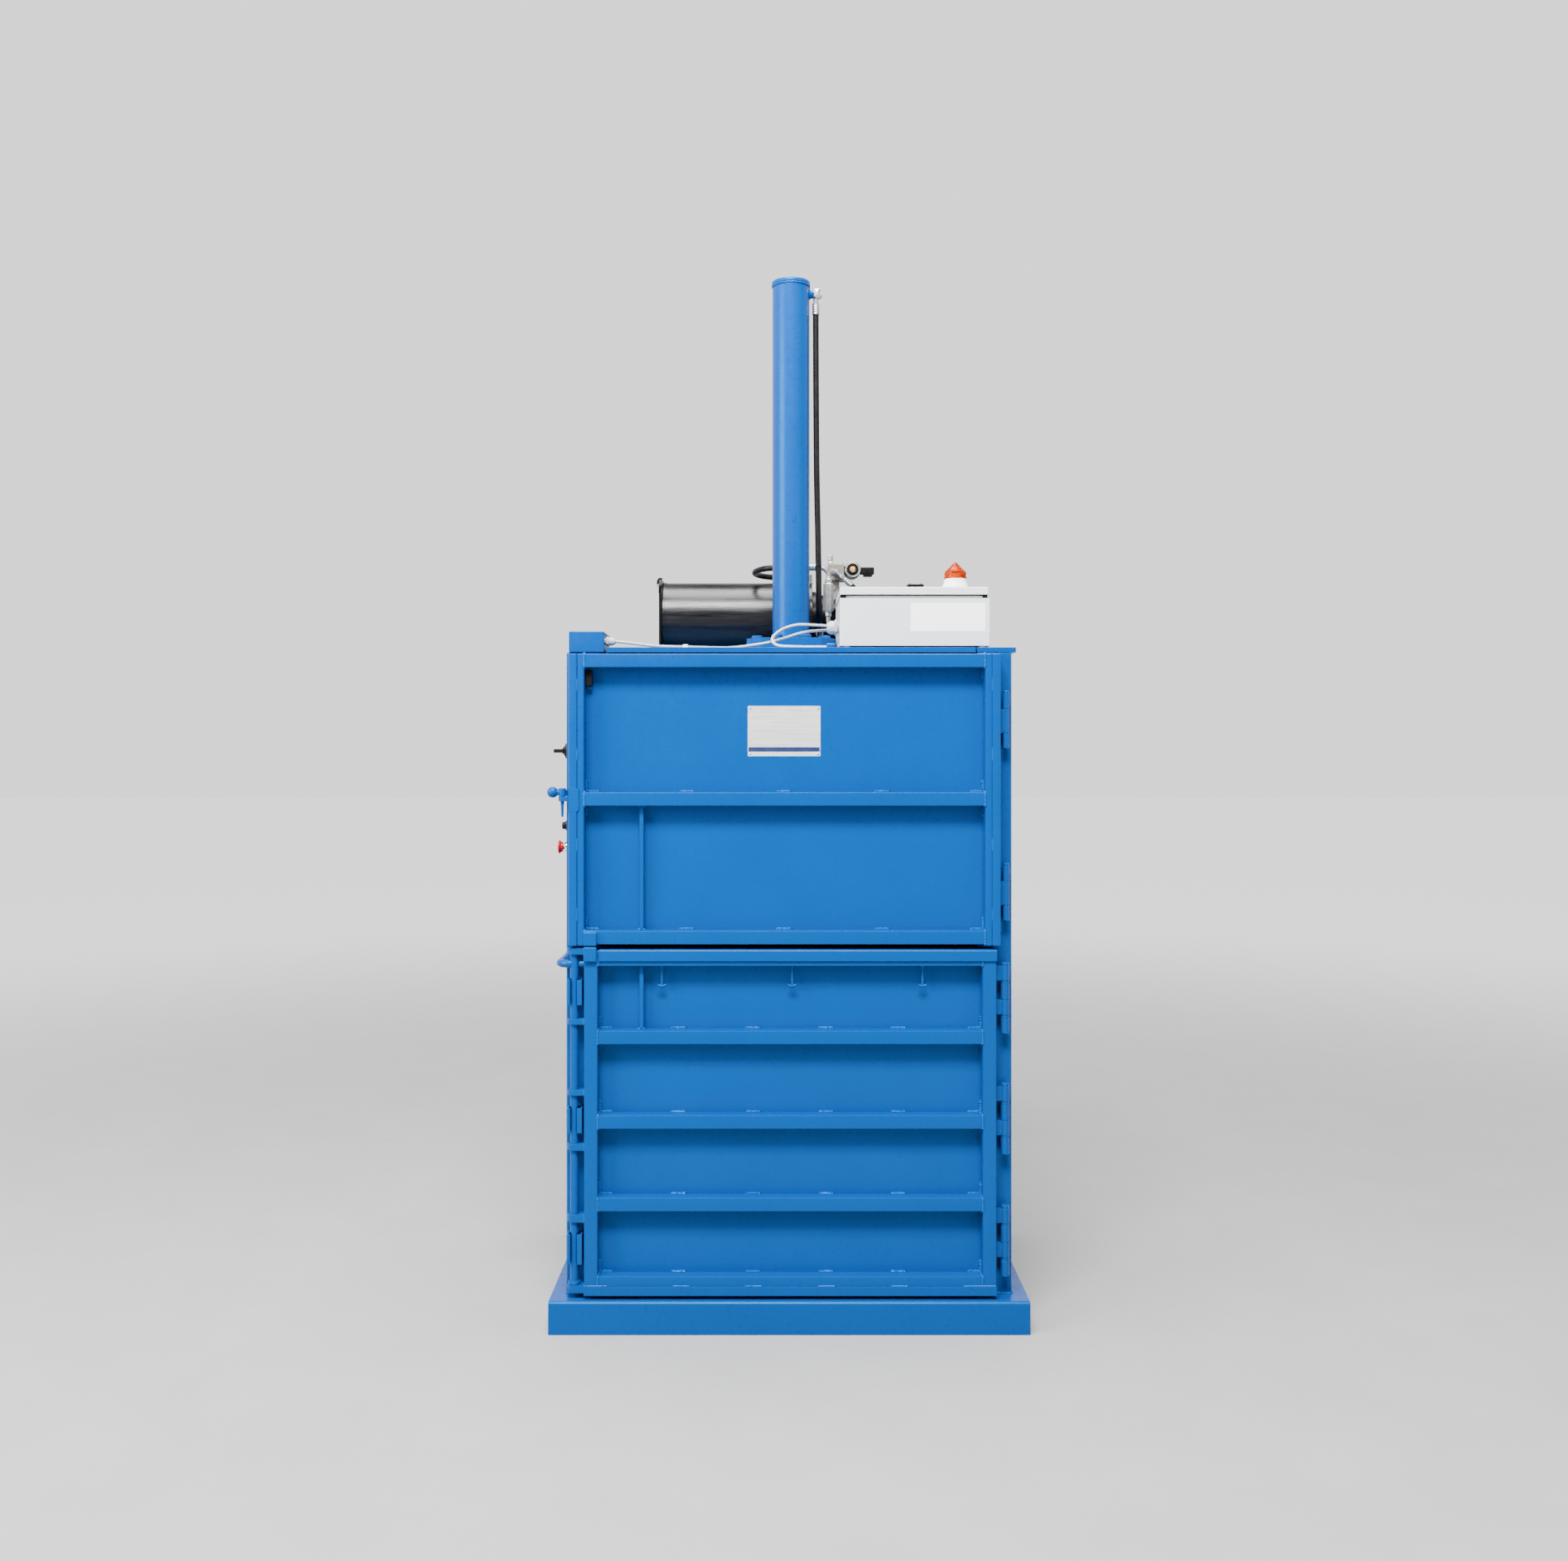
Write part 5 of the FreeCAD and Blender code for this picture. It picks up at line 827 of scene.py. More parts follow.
def enclosure():
    """The folded enclosure with its neck, feet, seal and label, and two black blocks of painted
    shade at the seal's front ends.
    """
    (left, front, _), (right, back, _) = SHELL_LOW, SHELL_HIGH
    outline, inside, rim_out, rim_in = [inset(SHELL_LOW, SHELL_HIGH, *sizes) for sizes in (
        (0, 4), (WALL, 3), (NECK, 3), (NECK + WALL, 2))]
    # the shell's top edge is folded: its outline there is drawn in towards its middle
    folded = [(x * 0.9985 + 0.00056, y * 0.9985 - 0.00027) for x, y in outline]
    body = Form().stack([
        (outline, SHELL_FOOT), (outline, SHELL_FOOT + 0.0015), (outline, SHELL_TOP - 0.0025),
        (folded, SHELL_TOP), (rim_out, SHELL_TOP), (rim_out, NECK_TOP), (rim_in, NECK_TOP),
        (rim_in, SHELL_TOP - WALL), (inside, SHELL_TOP - WALL), (inside, SHELL_FOOT + WALL)])
    piece("enclosure_shell", body, "grey", "enclosure_body")
    feet = Form()
    tall = (SHELL_FOOT - ROOF) / MM
    for x, y in product((left + 0.022, right - 0.022), (front + 0.022, back - 0.022)):
        feet.turned("z", (x, y, ROOF), [(12.5, 0), (12.5, 3), (9, 6), (9, tall)])
    piece("enclosure_feet", feet, "white_plastic")
    low, high = 2.132, 2.1346
    seal = Form().stack([(rim_out, low), (grown(rim_out, 0.0032), low),
                         (grown(rim_out, 0.0032), high), (rim_out, high)], closed=True)
    # the two black blocks at the seal's front corners are painted shade: they stand for the dark
    # seen through the ends of the lid's seam
    for start, end in ((left + 0.0015, left + 0.0185), (right - 0.0225, right - 0.008)):
        seal.block((start, front + 0.003, SHELL_TOP - 0.0002), (end, front + 0.0105, NECK_TOP), 0.8)
    piece("enclosure_seal_and_painted_shade", seal, "black")
    piece("enclosure_label", Form().prism("y", rounded((0.3605, 2.0255), (0.5825, 2.1095), 2, 3),
                                          front - 0.0006, front + 0.0002), "label")


def cover():
    """The enclosure's lid with its hinge barrels."""
    front, back = SHELL_LOW.y, SHELL_HIGH.y
    outer, step, inner = [inset((LID_LOW.x, front), (LID_HIGH.x, back), *sizes) for sizes in (
        (0, 4), (0.002, 3), (SKIRT, 3))]
    lid = Form().stack([(inner, LID_HIGH.z - SKIRT), (inner, LID_LOW.z), (outer, LID_LOW.z),
                        (outer, LID_HIGH.z - 0.002), (step, LID_HIGH.z)])
    for start in (SHELL_LOW.x + 0.07, SHELL_HIGH.x - 0.1):
        lid.turned("x", (start, back + 0.008, 2.146), [(5.5, 0), (6, 0.6), (6, 29.4), (5.5, 30)])
        lid.block((start, back - 0.002, 2.144), (start + 0.03, back + 0.006, 2.148), 0.6)
    piece("enclosure_cover", lid, "grey", "enclosure_lid")


def beacon():
    """The warning light: a stepped white foot and a ribbed orange lens."""
    x, y = 0.511, -0.18
    piece("beacon_foot", Form().turned("z", (x, y, LID_HIGH.z), [
        (39.5, 0), (40, 0.6), (40, 15.5), (38.8, 19.5), (36.8, 24.5), (35.2, 30), (34.5, 34.5),
        (34.5, 39.5), (33.5, 40.5), (33, 42), (33, 47)], 64), "white_plastic", "beacon_base")
    base = LID_HIGH.z + 0.047
    lens = Form().spun("z", (x, y, base), [
        (33.2, -5.5), (33.8, -5.5), (34.2, -5), (34.2, 0.5), (33, 1.5), (32.9, 13.5), (32.2, 15.8),
        (30, 18.6), (5.5, 43), (4, 44.8), (2, 45.8), (0, 46), (0, 1), (33.2, 1)], 64, False)
    for rib in zip(*[circle("z", (x, y, base + up), out, 32) for up, out in (
            (0.003, 32.7), (0.0138, 32.7), (0.019, 29.4))]):
        lens.tube(rib, 0.6, 5)
    piece("beacon_lens_ribbed", lens, "orange", "beacon_lens")


def glands():
    """Two cable glands with ribbed caps, the hood over the roof's cable hole, and a box."""
    form = Form()
    for axis, place, dia, long in (("-x", (0.151, -0.25, 2.043), 46, 36),
                                   ("x", (-0.538, -0.38, 1.991), 26, 30)):
        thread, cap = long * 0.12, long * 0.62
        step = Vector(FACING[axis]) * MM
        body = Vector(place) + step * long * 0.38
        form.turned(axis, place, [(dia * 0.36, -1), (dia * 0.36, thread)], 32)
        form.hexagon(axis, Vector(place) + step * thread, dia * 0.93, long * 0.26)
        form.turned(axis, body, [
            (dia * 0.42, 0), (dia * 0.43, cap * 0.06), (dia * 0.43, cap * 0.55),
            (dia * 0.38, cap * 0.78), (dia * 0.3, cap * 0.96), (dia * 0.27, cap)], 32)
        for at in circle("x", body, dia * 0.43, 12):
            form.tube([Vector(at) + step * cap * share for share in (0.05, 0.55)], dia * 0.018, 6)
    piece("gland_set", form, "light_plastic", "cable_glands")
    hood = Form().block((0.11, -0.358, ROOF), (0.136, -0.332, ROOF + 0.016), 4, 3)
    piece("cable_hood", hood, "blue")
    soften_node("post_box", "switch_box", "blue", 2.5)


for build in (cylinder, flange_bolts, port, enclosure, cover, beacon, glands):
    build()

# ---- power unit

UNIT_Y, UNIT_Z = 0.29, 2.114
TANK_LEFT, TANK_RIGHT = -0.416, 0.082
TANK = 130
BLOCK_LOW, BLOCK_HIGH = (0.133, 0.165, 2.238), (0.187, 0.235, 2.292)
PLATE = 0.008


def oil_tank():
    """The drum with rolled end rims and a level glass."""
    long = (TANK_RIGHT - TANK_LEFT) / MM
    piece("tank_drum", Form().turned("x", (TANK_LEFT, UNIT_Y, UNIT_Z), [
        (TANK - 12, 4), (TANK - 6, 0), (TANK - 1, 0), (TANK, 2), (TANK, 9), (TANK - 2, 12),
        (TANK - 2, long - 14), (TANK, long - 10), (TANK, long - 2), (TANK - 1, long),
        (TANK - 10, long), (TANK - 16, long - 4)], 96), "black_gloss", "tank")
    piece("level_glass", Form().turned("y", (-0.3, UNIT_Y + TANK * MM - 0.004, UNIT_Z), [
        (24, 0), (24, 6), (21, 8), (16, 8), (15, 6)], 32), "zinc")


def tank_supports():
    """The plate with a lug at the tank's left end, the saddles and their bolts."""
    form, bolts = Form(), Form()
    left, top = TANK_LEFT - PLATE, UNIT_Z + TANK * MM
    front, back = UNIT_Y - 0.14, UNIT_Y + 0.14
    corner = 0.03
    outline = [(front, ROOF), (back, ROOF), (back, top - corner)]
    outline += arc((back - corner, top - corner), corner, 0, 90, 6)
    outline += arc((front + corner, top - corner), corner, 90, 180, 6)
    form.prism("x", outline, left, TANK_LEFT, 1.2)
    form.block((left - 0.02, front, ROOF), (left + 0.001, back, ROOF + PLATE))
    form.prism("y", [(left + 0.001, top - 0.042), (left + 0.001, top + 0.016),
                     (left - 0.008, top + 0.018), (left - 0.016, top + 0.012),
                     (left - 0.019, top - 0.002), (left - 0.012, top - 0.016),
                     (left - 0.013, top - 0.034)], UNIT_Y - 0.004, UNIT_Y + 0.004, 1.2)
    for y in (UNIT_Y - 0.1, UNIT_Y + 0.1):
        bolts.hexagon("z", (left - 0.011, y, ROOF + PLATE), 13, 6)
    for middle, radius in ((0.037, 0.13), (0.36, 0.095)):
        reach = radius * 0.72
        foot, shoulder = ROOF + PLATE, UNIT_Z - radius * 0.62
        saddle = [(UNIT_Y + reach, foot), (UNIT_Y + reach, shoulder)]
        saddle += arc((UNIT_Y, UNIT_Z), radius + 0.0004, -45, -135, 9)
        saddle += [(UNIT_Y - reach, shoulder), (UNIT_Y - reach, foot)]
        form.prism("x", saddle, middle - 0.005, middle + 0.005, 1)
        form.block((middle - 0.01, UNIT_Y - reach - 0.01, ROOF),
                   (middle + 0.01, UNIT_Y + reach + 0.01, foot), 1.2)
        for out in (-reach - 0.001, reach + 0.001):
            bolts.hexagon("z", (middle, UNIT_Y + out, foot), 10, 5)
    bolts.turned("y", (left - 0.012, UNIT_Y - 0.0052, top - 0.01), [
        (6, 0), (6.5, 1), (6.5, 9.4), (6, 10.4)], 20)
    piece("tank_supports", form, "black_metal", "tank_brackets")
    piece("support_bolts", bolts, "zinc")


def electric_motor():
    """A finned shell, an end shield, a fan cover with slots and a terminal box."""
    form, grille = Form(), Form()
    y, z = UNIT_Y, UNIT_Z
    start, cowl, end = 0.19, 0.445, 0.5
    radius, fins = 95, (cowl - start) / MM
    form.turned("x", (start, y, z), [
        (80, 0), (radius, 3), (radius, 16), (87, 20), (87, fins)], 64)
    for fin in range(36):
        turn = math.tau * (fin + 0.5) / 36
        out = Vector((math.cos(turn), math.sin(turn))) * MM
        side = Vector((-out.y, out.x))
        corners = [Vector((y, z)) + out * far + side * wide for far, wide in (
            (85, -1.8), (85, 1.8), (radius - 1, 1.1), (radius - 1, -1.1))]
        form.prism("x", corners, start + 0.018, cowl - 0.002, 0.4, 1)
    long = (end - cowl) / MM
    form.turned("x", (cowl, y, z), [
        (radius - 1, 0), (radius, 1), (radius, long - 18), (radius - 6, long - 6),
        (radius - 16, long - 1), (radius - 22, long)], 64)
    left, right = 0.403, 0.457
    form.block((left, y - 0.045, z + 0.08), (right, y + 0.045, z + 0.112), 3)
    form.block((left - 0.001, y - 0.046, z + 0.113),
               (right + 0.001, y + 0.046, z + 0.121), 3)
    for spot in product((left + 0.008, right - 0.008), (y - 0.037, y + 0.037), (z + 0.1205,)):
        form.turned("z", spot, [(4.5, 0), (4, 2.2), (0, 2.6)], 14)
    piece("motor_shell", form, "black_metal", "motor")
    for ring in range(1, 6):
        for spot in circle("x", (end - 0.0008, y, z), 12 * ring, 6 * ring):
            grille.turned("x", spot, [(3.6, 0), (3.6, 1), (2.6, 1), (2.4, 0.4)], 10)
    piece("fan_grille", grille, "black", slot="black_paint")


def manifold():
    """The pump housing, the cast column on it and the valve block."""
    piece("pump_bell", Form().turned("x", (TANK_RIGHT, UNIT_Y, UNIT_Z), [
        (100, 0), (100, 12), (92, 16), (88, 30), (88, 80), (94, 92), (100, 96), (100, 108)], 64),
        "black_metal", "pump_manifold")
    form, screws = Form(), Form()
    low, high = BLOCK_LOW, BLOCK_HIGH
    form.block((0.14, 0.18, UNIT_Z + 0.03), (0.171, 0.22, low[2] + 0.002), 4, 3)
    form.block(low, high, 2.5)
    for axis, place, radius, long, rim in (("-y", (0.149, low[1], 2.266), 11, 3, 9.5),
                                           ("-y", (0.1505, 0.18, 2.214), 10, 3, 9),
                                           ("-x", (low[0], 0.215, 2.268), 10, 4, 9)):
        form.turned(axis, place, [(radius, 0), (radius, long), (rim, long + 1)])
    piece("pump_castings", form, "aluminium", "pump_manifold")
    for x, y in product((low[0] + 0.008, high[0] - 0.008), (low[1] + 0.01, high[1] - 0.01)):
        screws.turned("z", (x, y, high[2]), [
            (4.5, 0), (5, 0.5), (5, 4.5), (4.5, 5), (2.5, 5), (2.5, 3)], 18)
    for spot in circle("x", (TANK_RIGHT + 0.098, UNIT_Y, UNIT_Z), 93, 6, 0.5):
        screws.turned("-x", spot, [(6, 0), (6.5, 0.5), (6.5, 6), (6, 6.5)], 18)
    piece("pump_screws", screws, "zinc")


def solenoid():
    """The valve's coil with its end ring and nut, and the plug beside it."""
    x, near, z = 0.214, 0.155, 2.272
    coil = Form().turned("y", (x, near + 0.004, z), [
        (24, 0), (27, 3), (27, 14), (26.2, 16), (26.2, 38), (27, 40), (27, 53), (24, 56)], 48)
    coil.block((0.186, near + 0.02, z - 0.014), (x, near + 0.05, z + 0.014), 2)
    piece("coil_body", coil, "black", "solenoid_coil")
    ring = Form().spun("-y", (x, near + 0.006, z), [
        (19.5, 0), (25.8, 0), (25.8, 4.5), (24.8, 5.5), (20.5, 5.5), (19.5, 4.5)], 48)
    for at in circle("y", (x, near + 0.0055, z), 25.6, 36):
        ring.tube([at, (at[0], near + 0.002, at[2])], 0.8, 5)
    piece("coil_ring", ring, "zinc")
    piece("coil_nut", Form().turned("-y", (x, near + 0.005, z), [
        (10.5, 0), (10.5, 6), (9.5, 8), (5, 8.5)], 32), "brass")
    plug = Form().block((0.238, 0.171, z - 0.013), (0.286, 0.199, z + 0.01), 3, 3)
    plug.block((0.25, 0.173, z - 0.0205), (0.28, 0.197, z - 0.01), 2.5, 3)
    plug.turned("-y", (0.262, 0.171, z - 0.001), [(5, 0), (4.8, 1), (0, 1.2)], 16)
    piece("coil_plug", plug, "black")


def valve():
    """The flow valve with its elbow, the relief cap and the hoses' ends."""
    x, y = 0.132, 0.096
    low, high, bend = 2.128, 2.219, 0.03
    form = Form().hexagon("z", (x, y, low), 30, (high - low) / MM)
    form.turned("z", (x, y, low - 0.003), [(13, 0), (13, 3)], 28)
    form.hexagon("-z", (x, y, low - 0.003), 19, 15)
    form.turned("-z", (x, y, low - 0.018), [(7.5, 0), (7.5, 18), (6.5, 18.8)])
    form.hexagon("z", (x, y, high + 0.001), 20.5, 14)
    form.turned("z", (x, y, high + 0.015), [(8.5, 0), (8.5, 4), (7.5, 6)])
    elbow = [(along, y, up) for along, up in arc((x - bend, 2.241), bend, 0, 90, 10)]
    form.tube([(x, y, high + 0.016), *elbow, (0.096, y, 2.271)], 7.5, 20)
    form.crimped("-x", (0.1, y, 2.271), 37, 8, 11.5)
    side, level = 0.1475, 2.1735
    form.tube([(side, y + 0.006, level), (side, 0.182, level)], 7.5, 16)
    form.hexagon("y", (side, y + 0.014, level), 19, 12)
    form.hexagon("-y", (side, 0.1815, level), 19, 12)
    piece("flow_valve", form, "zinc", "valve_fittings")
    spot = (0.143, 0.2, 2.292)
    cap = Form().hexagon("z", spot, 18, 10)
    cap.turned("z", spot, [(0, 9), (6.5, 9), (6.5, 14), (8, 15.5), (8, 30), (7, 32)], 28)
    for at in circle("z", (0.143, 0.2, 2.308), 8, 20):
        cap.tube([at, (at[0], at[1], 2.321)], 0.6, 5)
    piece("relief_cap", cap, "zinc")
    riser = UNIT_Z + TANK * 0.97 * MM
    tall = (2.274 - riser) / MM
    ends = Form().turned("z", (0.072, 0.3, riser), [
        (16.5, 0), (16.5, 4), (13, 6), (13, tall - 2), (11, tall)], 28)
    ends.crimped("-x", (0.072, 0.3, 2.262), 24, 10, 11.7, 3)
    ends.crimped("-y", (0.105, 0.205, 2.06), 55, 10, 11.7, 5)
    piece("hose_ends", ends, "zinc")


for build in (oil_tank, tank_supports, electric_motor, manifold, solenoid, valve):
    build()

# ---- hinges

UPPER_AXIS, LOWER_AXIS = (0.626, -0.437), (0.623, -0.437)
UPPER_BARREL, LOWER_BARREL = 9.5, 12.5
PIN, PIN_BORE = 6, 6.12
GAP = 0.0004
LEAF = 0.005


def barrel(form, axis, low, high, radius, soft=1.0):
    """One hinge knuckle: a bored barrel with eased rims."""
    long, ease = (high - low) / MM, soft * 0.4
    form.spun("z", (*axis, low), [
        (PIN_BORE + ease, 0), (radius - soft, 0), (radius, soft), (radius, long - soft),
        (radius - soft, long), (PIN_BORE + ease, long), (PIN_BORE, long - ease),
        (PIN_BORE, ease)], 40)


def door_leaf(form, welds, axis, edge, low, high, radius):
    """The leaf from a door's edge to its knuckle, with beads along both ends."""
    x, y = axis
    form.block((edge - 0.001, y - LEAF, low + 0.0005),
               (x - PIN_BORE * MM - 0.001, y + LEAF, high - 0.0005), 0.8)
    low, high = low + 0.003, high - 0.003
    for side in (y - LEAF, y + LEAF):
        welds.bead(2.6, (edge, side, low), (edge, side, high))
    x, y = x - radius * 0.86 * MM, y - LEAF - 0.0004
    welds.bead(2.2, (x, y, low), (x, y, high))


def post_leaf(form, welds, axis, low, high):
    """The leaf from a knuckle back to the right post, welded along its foot."""
    x, y = axis
    form.block((x - LEAF, y + PIN_BORE * MM + 0.001, low + 0.0005),
               (x + LEAF, POST_FACE, high - 0.0005), 0.8)
    for side in (x - LEAF, x + LEAF):
        welds.bead(3, (side, POST_FACE, low + 0.002), (side, POST_FACE, high - 0.002))


def spans(top, talls):
    """Heights of stacked knuckles and washers from the top down, a gap apart."""
    found = []
    for tall in talls:
        found.append((top - tall, top))
        top -= tall + GAP
    return found


def pin(form, axis, low, top, radius):
    """A headed pin with an eased end and a weld dimple in its head."""
    head = (top + GAP - low) / MM + 2
    form.turned("z", (*axis, low - 0.002), [
        (PIN - 1, 0), (PIN, 1), (PIN, head), (radius - 1.8, head), (radius - 1, head + 1),
        (radius - 1, head + 6), (radius - 3, head + 8), (3, head + 8), (2, head + 7.2),
        (0, head + 7)], 36)


def hinges():
    """Two hinges of three knuckles on the upper door, three of six pieces on the lower."""
    upper, lower, post, pins = Form(), Form(), Form(), Form()
    upper_beads, lower_beads, post_beads = Form(), Form(), Form()
    for top in (1.836, 1.339):
        high, middle, low = spans(top, (0.043, 0.071, 0.043))
        for ends in (high, low):
            barrel(post, UPPER_AXIS, *ends, UPPER_BARREL)
            post_leaf(post, post_beads, UPPER_AXIS, *ends)
        barrel(upper, UPPER_AXIS, *middle, UPPER_BARREL)
        door_leaf(upper, upper_beads, UPPER_AXIS, UPPER_HIGH.x, *middle, UPPER_BARREL)
        pin(pins, UPPER_AXIS, low[0], top, UPPER_BARREL)
    for top in (1.052, 0.704, 0.352):
        rows = spans(top, (0.044, 0.009, 0.044) * 2)
        for moving, washer, fixed in (rows[:3], rows[3:]):
            barrel(lower, LOWER_AXIS, *moving, LOWER_BARREL)
            door_leaf(lower, lower_beads, LOWER_AXIS, LOWER_HIGH.x, *moving, LOWER_BARREL)
            barrel(post, LOWER_AXIS, *washer, LOWER_BARREL - 1, 0.6)
            barrel(post, LOWER_AXIS, *fixed, LOWER_BARREL)
            post_leaf(post, post_beads, LOWER_AXIS, *fixed)
        pin(pins, LOWER_AXIS, rows[5][0], top, LOWER_BARREL)
    piece("upper_hinge_knuckles", upper, "blue", "upper_door_knuckles")
    piece("upper_hinge_welds", upper_beads, "weld_highlight_blue", body="upper_door")
    piece("lower_hinge_knuckles", lower, "blue", "lower_door_knuckles")
    piece("lower_hinge_welds", lower_beads, "weld_highlight_blue", body="lower_door")
    piece("post_knuckles", post, "blue", "frame_knuckles")
    piece("post_hinge_welds", post_beads, "weld_highlight_blue")
    piece("pins", pins, "blue", "hinge_pins")


# ---- lock and latch

KEEPERS = ((0.939, 1.012), (0.571, 0.643), (0.193, 0.28))
SHAFT, FLAT, LEVER = 12.5, 8, 11.5


def section(clip, radius=SHAFT):
    """The shaft's outline, cut flat where the clip is less than its radius."""
    x, y = LOCK_PLACE
    spots = circle("z", (0, 0, 0), radius, 48)
    return [(x + max(-clip * MM, min(clip * MM, across)), y + along) for across, along, _ in spots]


def lock_shaft():
    """The shaft, flat in the keepers, with its collar and bent lever."""
    x, y = LOCK_PLACE
    rows = [(section(SHAFT, SHAFT - 1.5), 0.109), (section(SHAFT), 0.1105)]
    steps = [(share, section(FLAT + (SHAFT - FLAT) * (1 - math.sqrt(1 - (1 - share) ** 2))))
             for share in (0, 0.15, 0.35, 0.6, 1)]
    for low, high in sorted(KEEPERS):
        rows += [(outline, low - 0.003 + share * 0.004) for share, outline in steps]
        rows += [(outline, high + 0.003 - share * 0.004) for share, outline in reversed(steps)]
    form = Form().stack(rows + [(section(SHAFT), 1.102), (section(SHAFT, SHAFT - 1.5), 1.1035)])
    form.spun("z", (x, y, 0.1334), [
        (SHAFT - 1, 0), (17, 0), (18, 1), (18, 7), (17, 8), (SHAFT - 1, 8)], 40)
    form.bead_ring(2.2, "z", (x, y, 0.1425), SHAFT + 0.8, 24)
    piece("lock_shaft_milled", form, "blue", "lock_shaft")
    bend = 0.03
    corner = (-0.634, y + bend)
    end = (corner[0] - bend, -0.19, LEVER_LEVEL)
    path = [(*spot, LEVER_LEVEL) for spot in arc(corner, bend, -90, -180, 14)]
    arm = Form().tube([(x - 0.004, y, LEVER_LEVEL), *path, end], LEVER, 28)
    arm.ball(end, LEVER, 28)
    ring = circle("x", (x, y, LEVER_LEVEL), LEVER, 24)
    arm.bead(1.4, *[(x - 0.001 - math.sqrt((SHAFT * MM) ** 2 - (spot[1] - y) ** 2), *spot[1:])
                    for spot in [*ring, ring[0]]])
    piece("lock_lever_bent", arm, "blue", "lock_lever")


def keepers():
    """Three channels on the left post whose front lips hold the shaft's flats."""
    form, welds = Form(), Form()
    left, right, back, nose, wall = -0.64, -0.596, POST_FACE, -0.457, 0.006
    slot = (-0.6295, -0.6105)
    outline = [(left, back), (left, nose), (slot[0], nose), (slot[0], nose + wall),
               (left + wall, nose + wall), (left + wall, back - 0.008),
               (right - wall, back - 0.008), (right - wall, nose + wall),
               (slot[1], nose + wall), (slot[1], nose), (right, nose), (right, back)]
    for low, high in KEEPERS:
        form.prism("z", outline, low, high, 1.6)
        for x in (left, right):
            welds.bead(3.4, (x, back, low + 0.002), (x, back, high - 0.002))
        for level in (low, high):
            welds.bead(3, (left + 0.004, back, level), (right - 0.004, back, level))
    piece("keeper_channels", form, "blue", "lock_keepers")
    piece("keeper_welds", welds, "weld_highlight_blue")


def latch():
    """The latch: a bracket with a tapered pin, and the lever with its ball."""
    x, y, base, top = -0.655, -0.437, 1.525, 1.539
    hub = 0.011
    outline = arc((x, y), hub, 90, 270, 14)
    outline += [(-0.645, y - hub), (-0.634, y - hub - 0.0005), (-0.634, y + hub + 0.0005),
                (-0.645, y + hub)]
    form = Form().prism("z", outline, base, top, 2)
    form.turned("z", (x, y, 1.48), [(2.2, 0), (3, 1), (5.3, 44), (5.3, 47)])
    form.turned("z", (x, y, top - 0.001), [(5.4, 0), (5.4, 24.2), (4.6, 25)])
    for level in (base, top):
        form.bead(3.4, (-0.6345, y - hub, level), (-0.6345, y + hub, level))
    piece("latch_plate", form, "blue", "latch_bracket")
    low = top + GAP
    middle = low + 0.012
    lever = Form().spun("z", (x, y, low), [
        (5.6, 0), (9.8, 0), (11, 1.2), (11, 21), (9.5, 23.2), (7.5, 24), (5.6, 24)], 36)
    lever.ball((-0.683, y, middle), 16, 32)
    lever.tube([(x - out, y, middle) for out in (0.006, 0.0125, 0.0205)], [9.8, 9.2, 8.6], 24)
    lever.prism("x", [(y + out, low + up) for out, up in (
        (0.008, 0.003), (0.05, 0.002), (0.0515, 0.0035), (0.0515, 0.0185), (0.05, 0.02),
        (0.008, 0.019))], -0.6625, -0.6555, 1)
    piece("latch_hub", lever, "blue", "latch_lever")


# ---- controls on the left wall

KNOB, STOP, START = [(-0.647, -0.25, level) for level in (1.672, 1.383, 1.447)]


def controls():
    """The isolator's knob, the mushroom stop, the start button, their collars and box."""
    knob = Form().turned("-x", KNOB, [
        (8, 1), (8, 7.4), (22.5, 7.4), (23, 8), (23, 23.5), (22.5, 24.5), (20.8, 25.2),
        (17.2, 26.8), (14.5, 28.8), (11.8, 31), (9.2, 33.5), (7, 35.8), (6, 36)], 48)
    _, y, z = KNOB
    knob.block((-0.707, y - 0.017, z - 0.0055), (-0.6745, y + 0.017, z + 0.0055), 2.5, 3)
    for at in circle("x", KNOB, 22.6, 24):
        knob.tube([(at[0] - 0.01, *at[1:]), (at[0] - 0.022, *at[1:])], 0.4, 4)
    piece("isolator_handle", knob, "black", "isolator_knob")
    piece("stop_mushroom", Form().turned("-x", STOP, [
        (8, 8.2), (8, 34), (14.8, 34), (15, 35), (15.2, 37.5), (16.5, 39.5), (18.8, 41.2),
        (19.8, 42.8), (20, 44), (19.6, 45.5), (18.2, 46.8), (15, 47.8), (9.5, 48.6), (4, 49)], 48),
        "red", "stop_button")
    piece("start_cap", Form().turned("-x", START, [
        (11, 10.5), (11, 33.5), (10.2, 34.6), (9, 35), (8.5, 34.6), (0, 34.4)], 40),
        "black", "start_button")
    collars = Form()
    for place, outer, bore, long in ((KNOB, 23, 8.15, 7), (START, 15, 11.15, 25)):
        collars.spun("-x", place, [
            (bore, 0.2), (outer, 0.2), (outer, long - 1.2), (outer - 1.2, long), (bore, long)], 48)
    piece("control_collar_rings", collars, "black", "control_collars")
    piece("stop_collar", Form().spun("-x", STOP, [
        (8.1, 0.2), (15, 0.2), (15, 4), (13.8, 5), (13.8, 13), (14.8, 14), (14.8, 25.5),
        (13.8, 26.8), (8.1, 26.8)], 48), "chrome", "control_collars")
    screws = Form()
    for y, level in product((-0.288, -0.072), (1.357, 1.723)):
        screws.turned("-x", (-0.646, y, level), [(5, 0), (5.2, 0.6), (4.6, 2.4), (2.4, 3)], 20)
    piece("panel_screws", screws, "zinc")
    soften_node("control_box", "control_panel", "blue", 1.5)


# ---- plates, clips and small parts


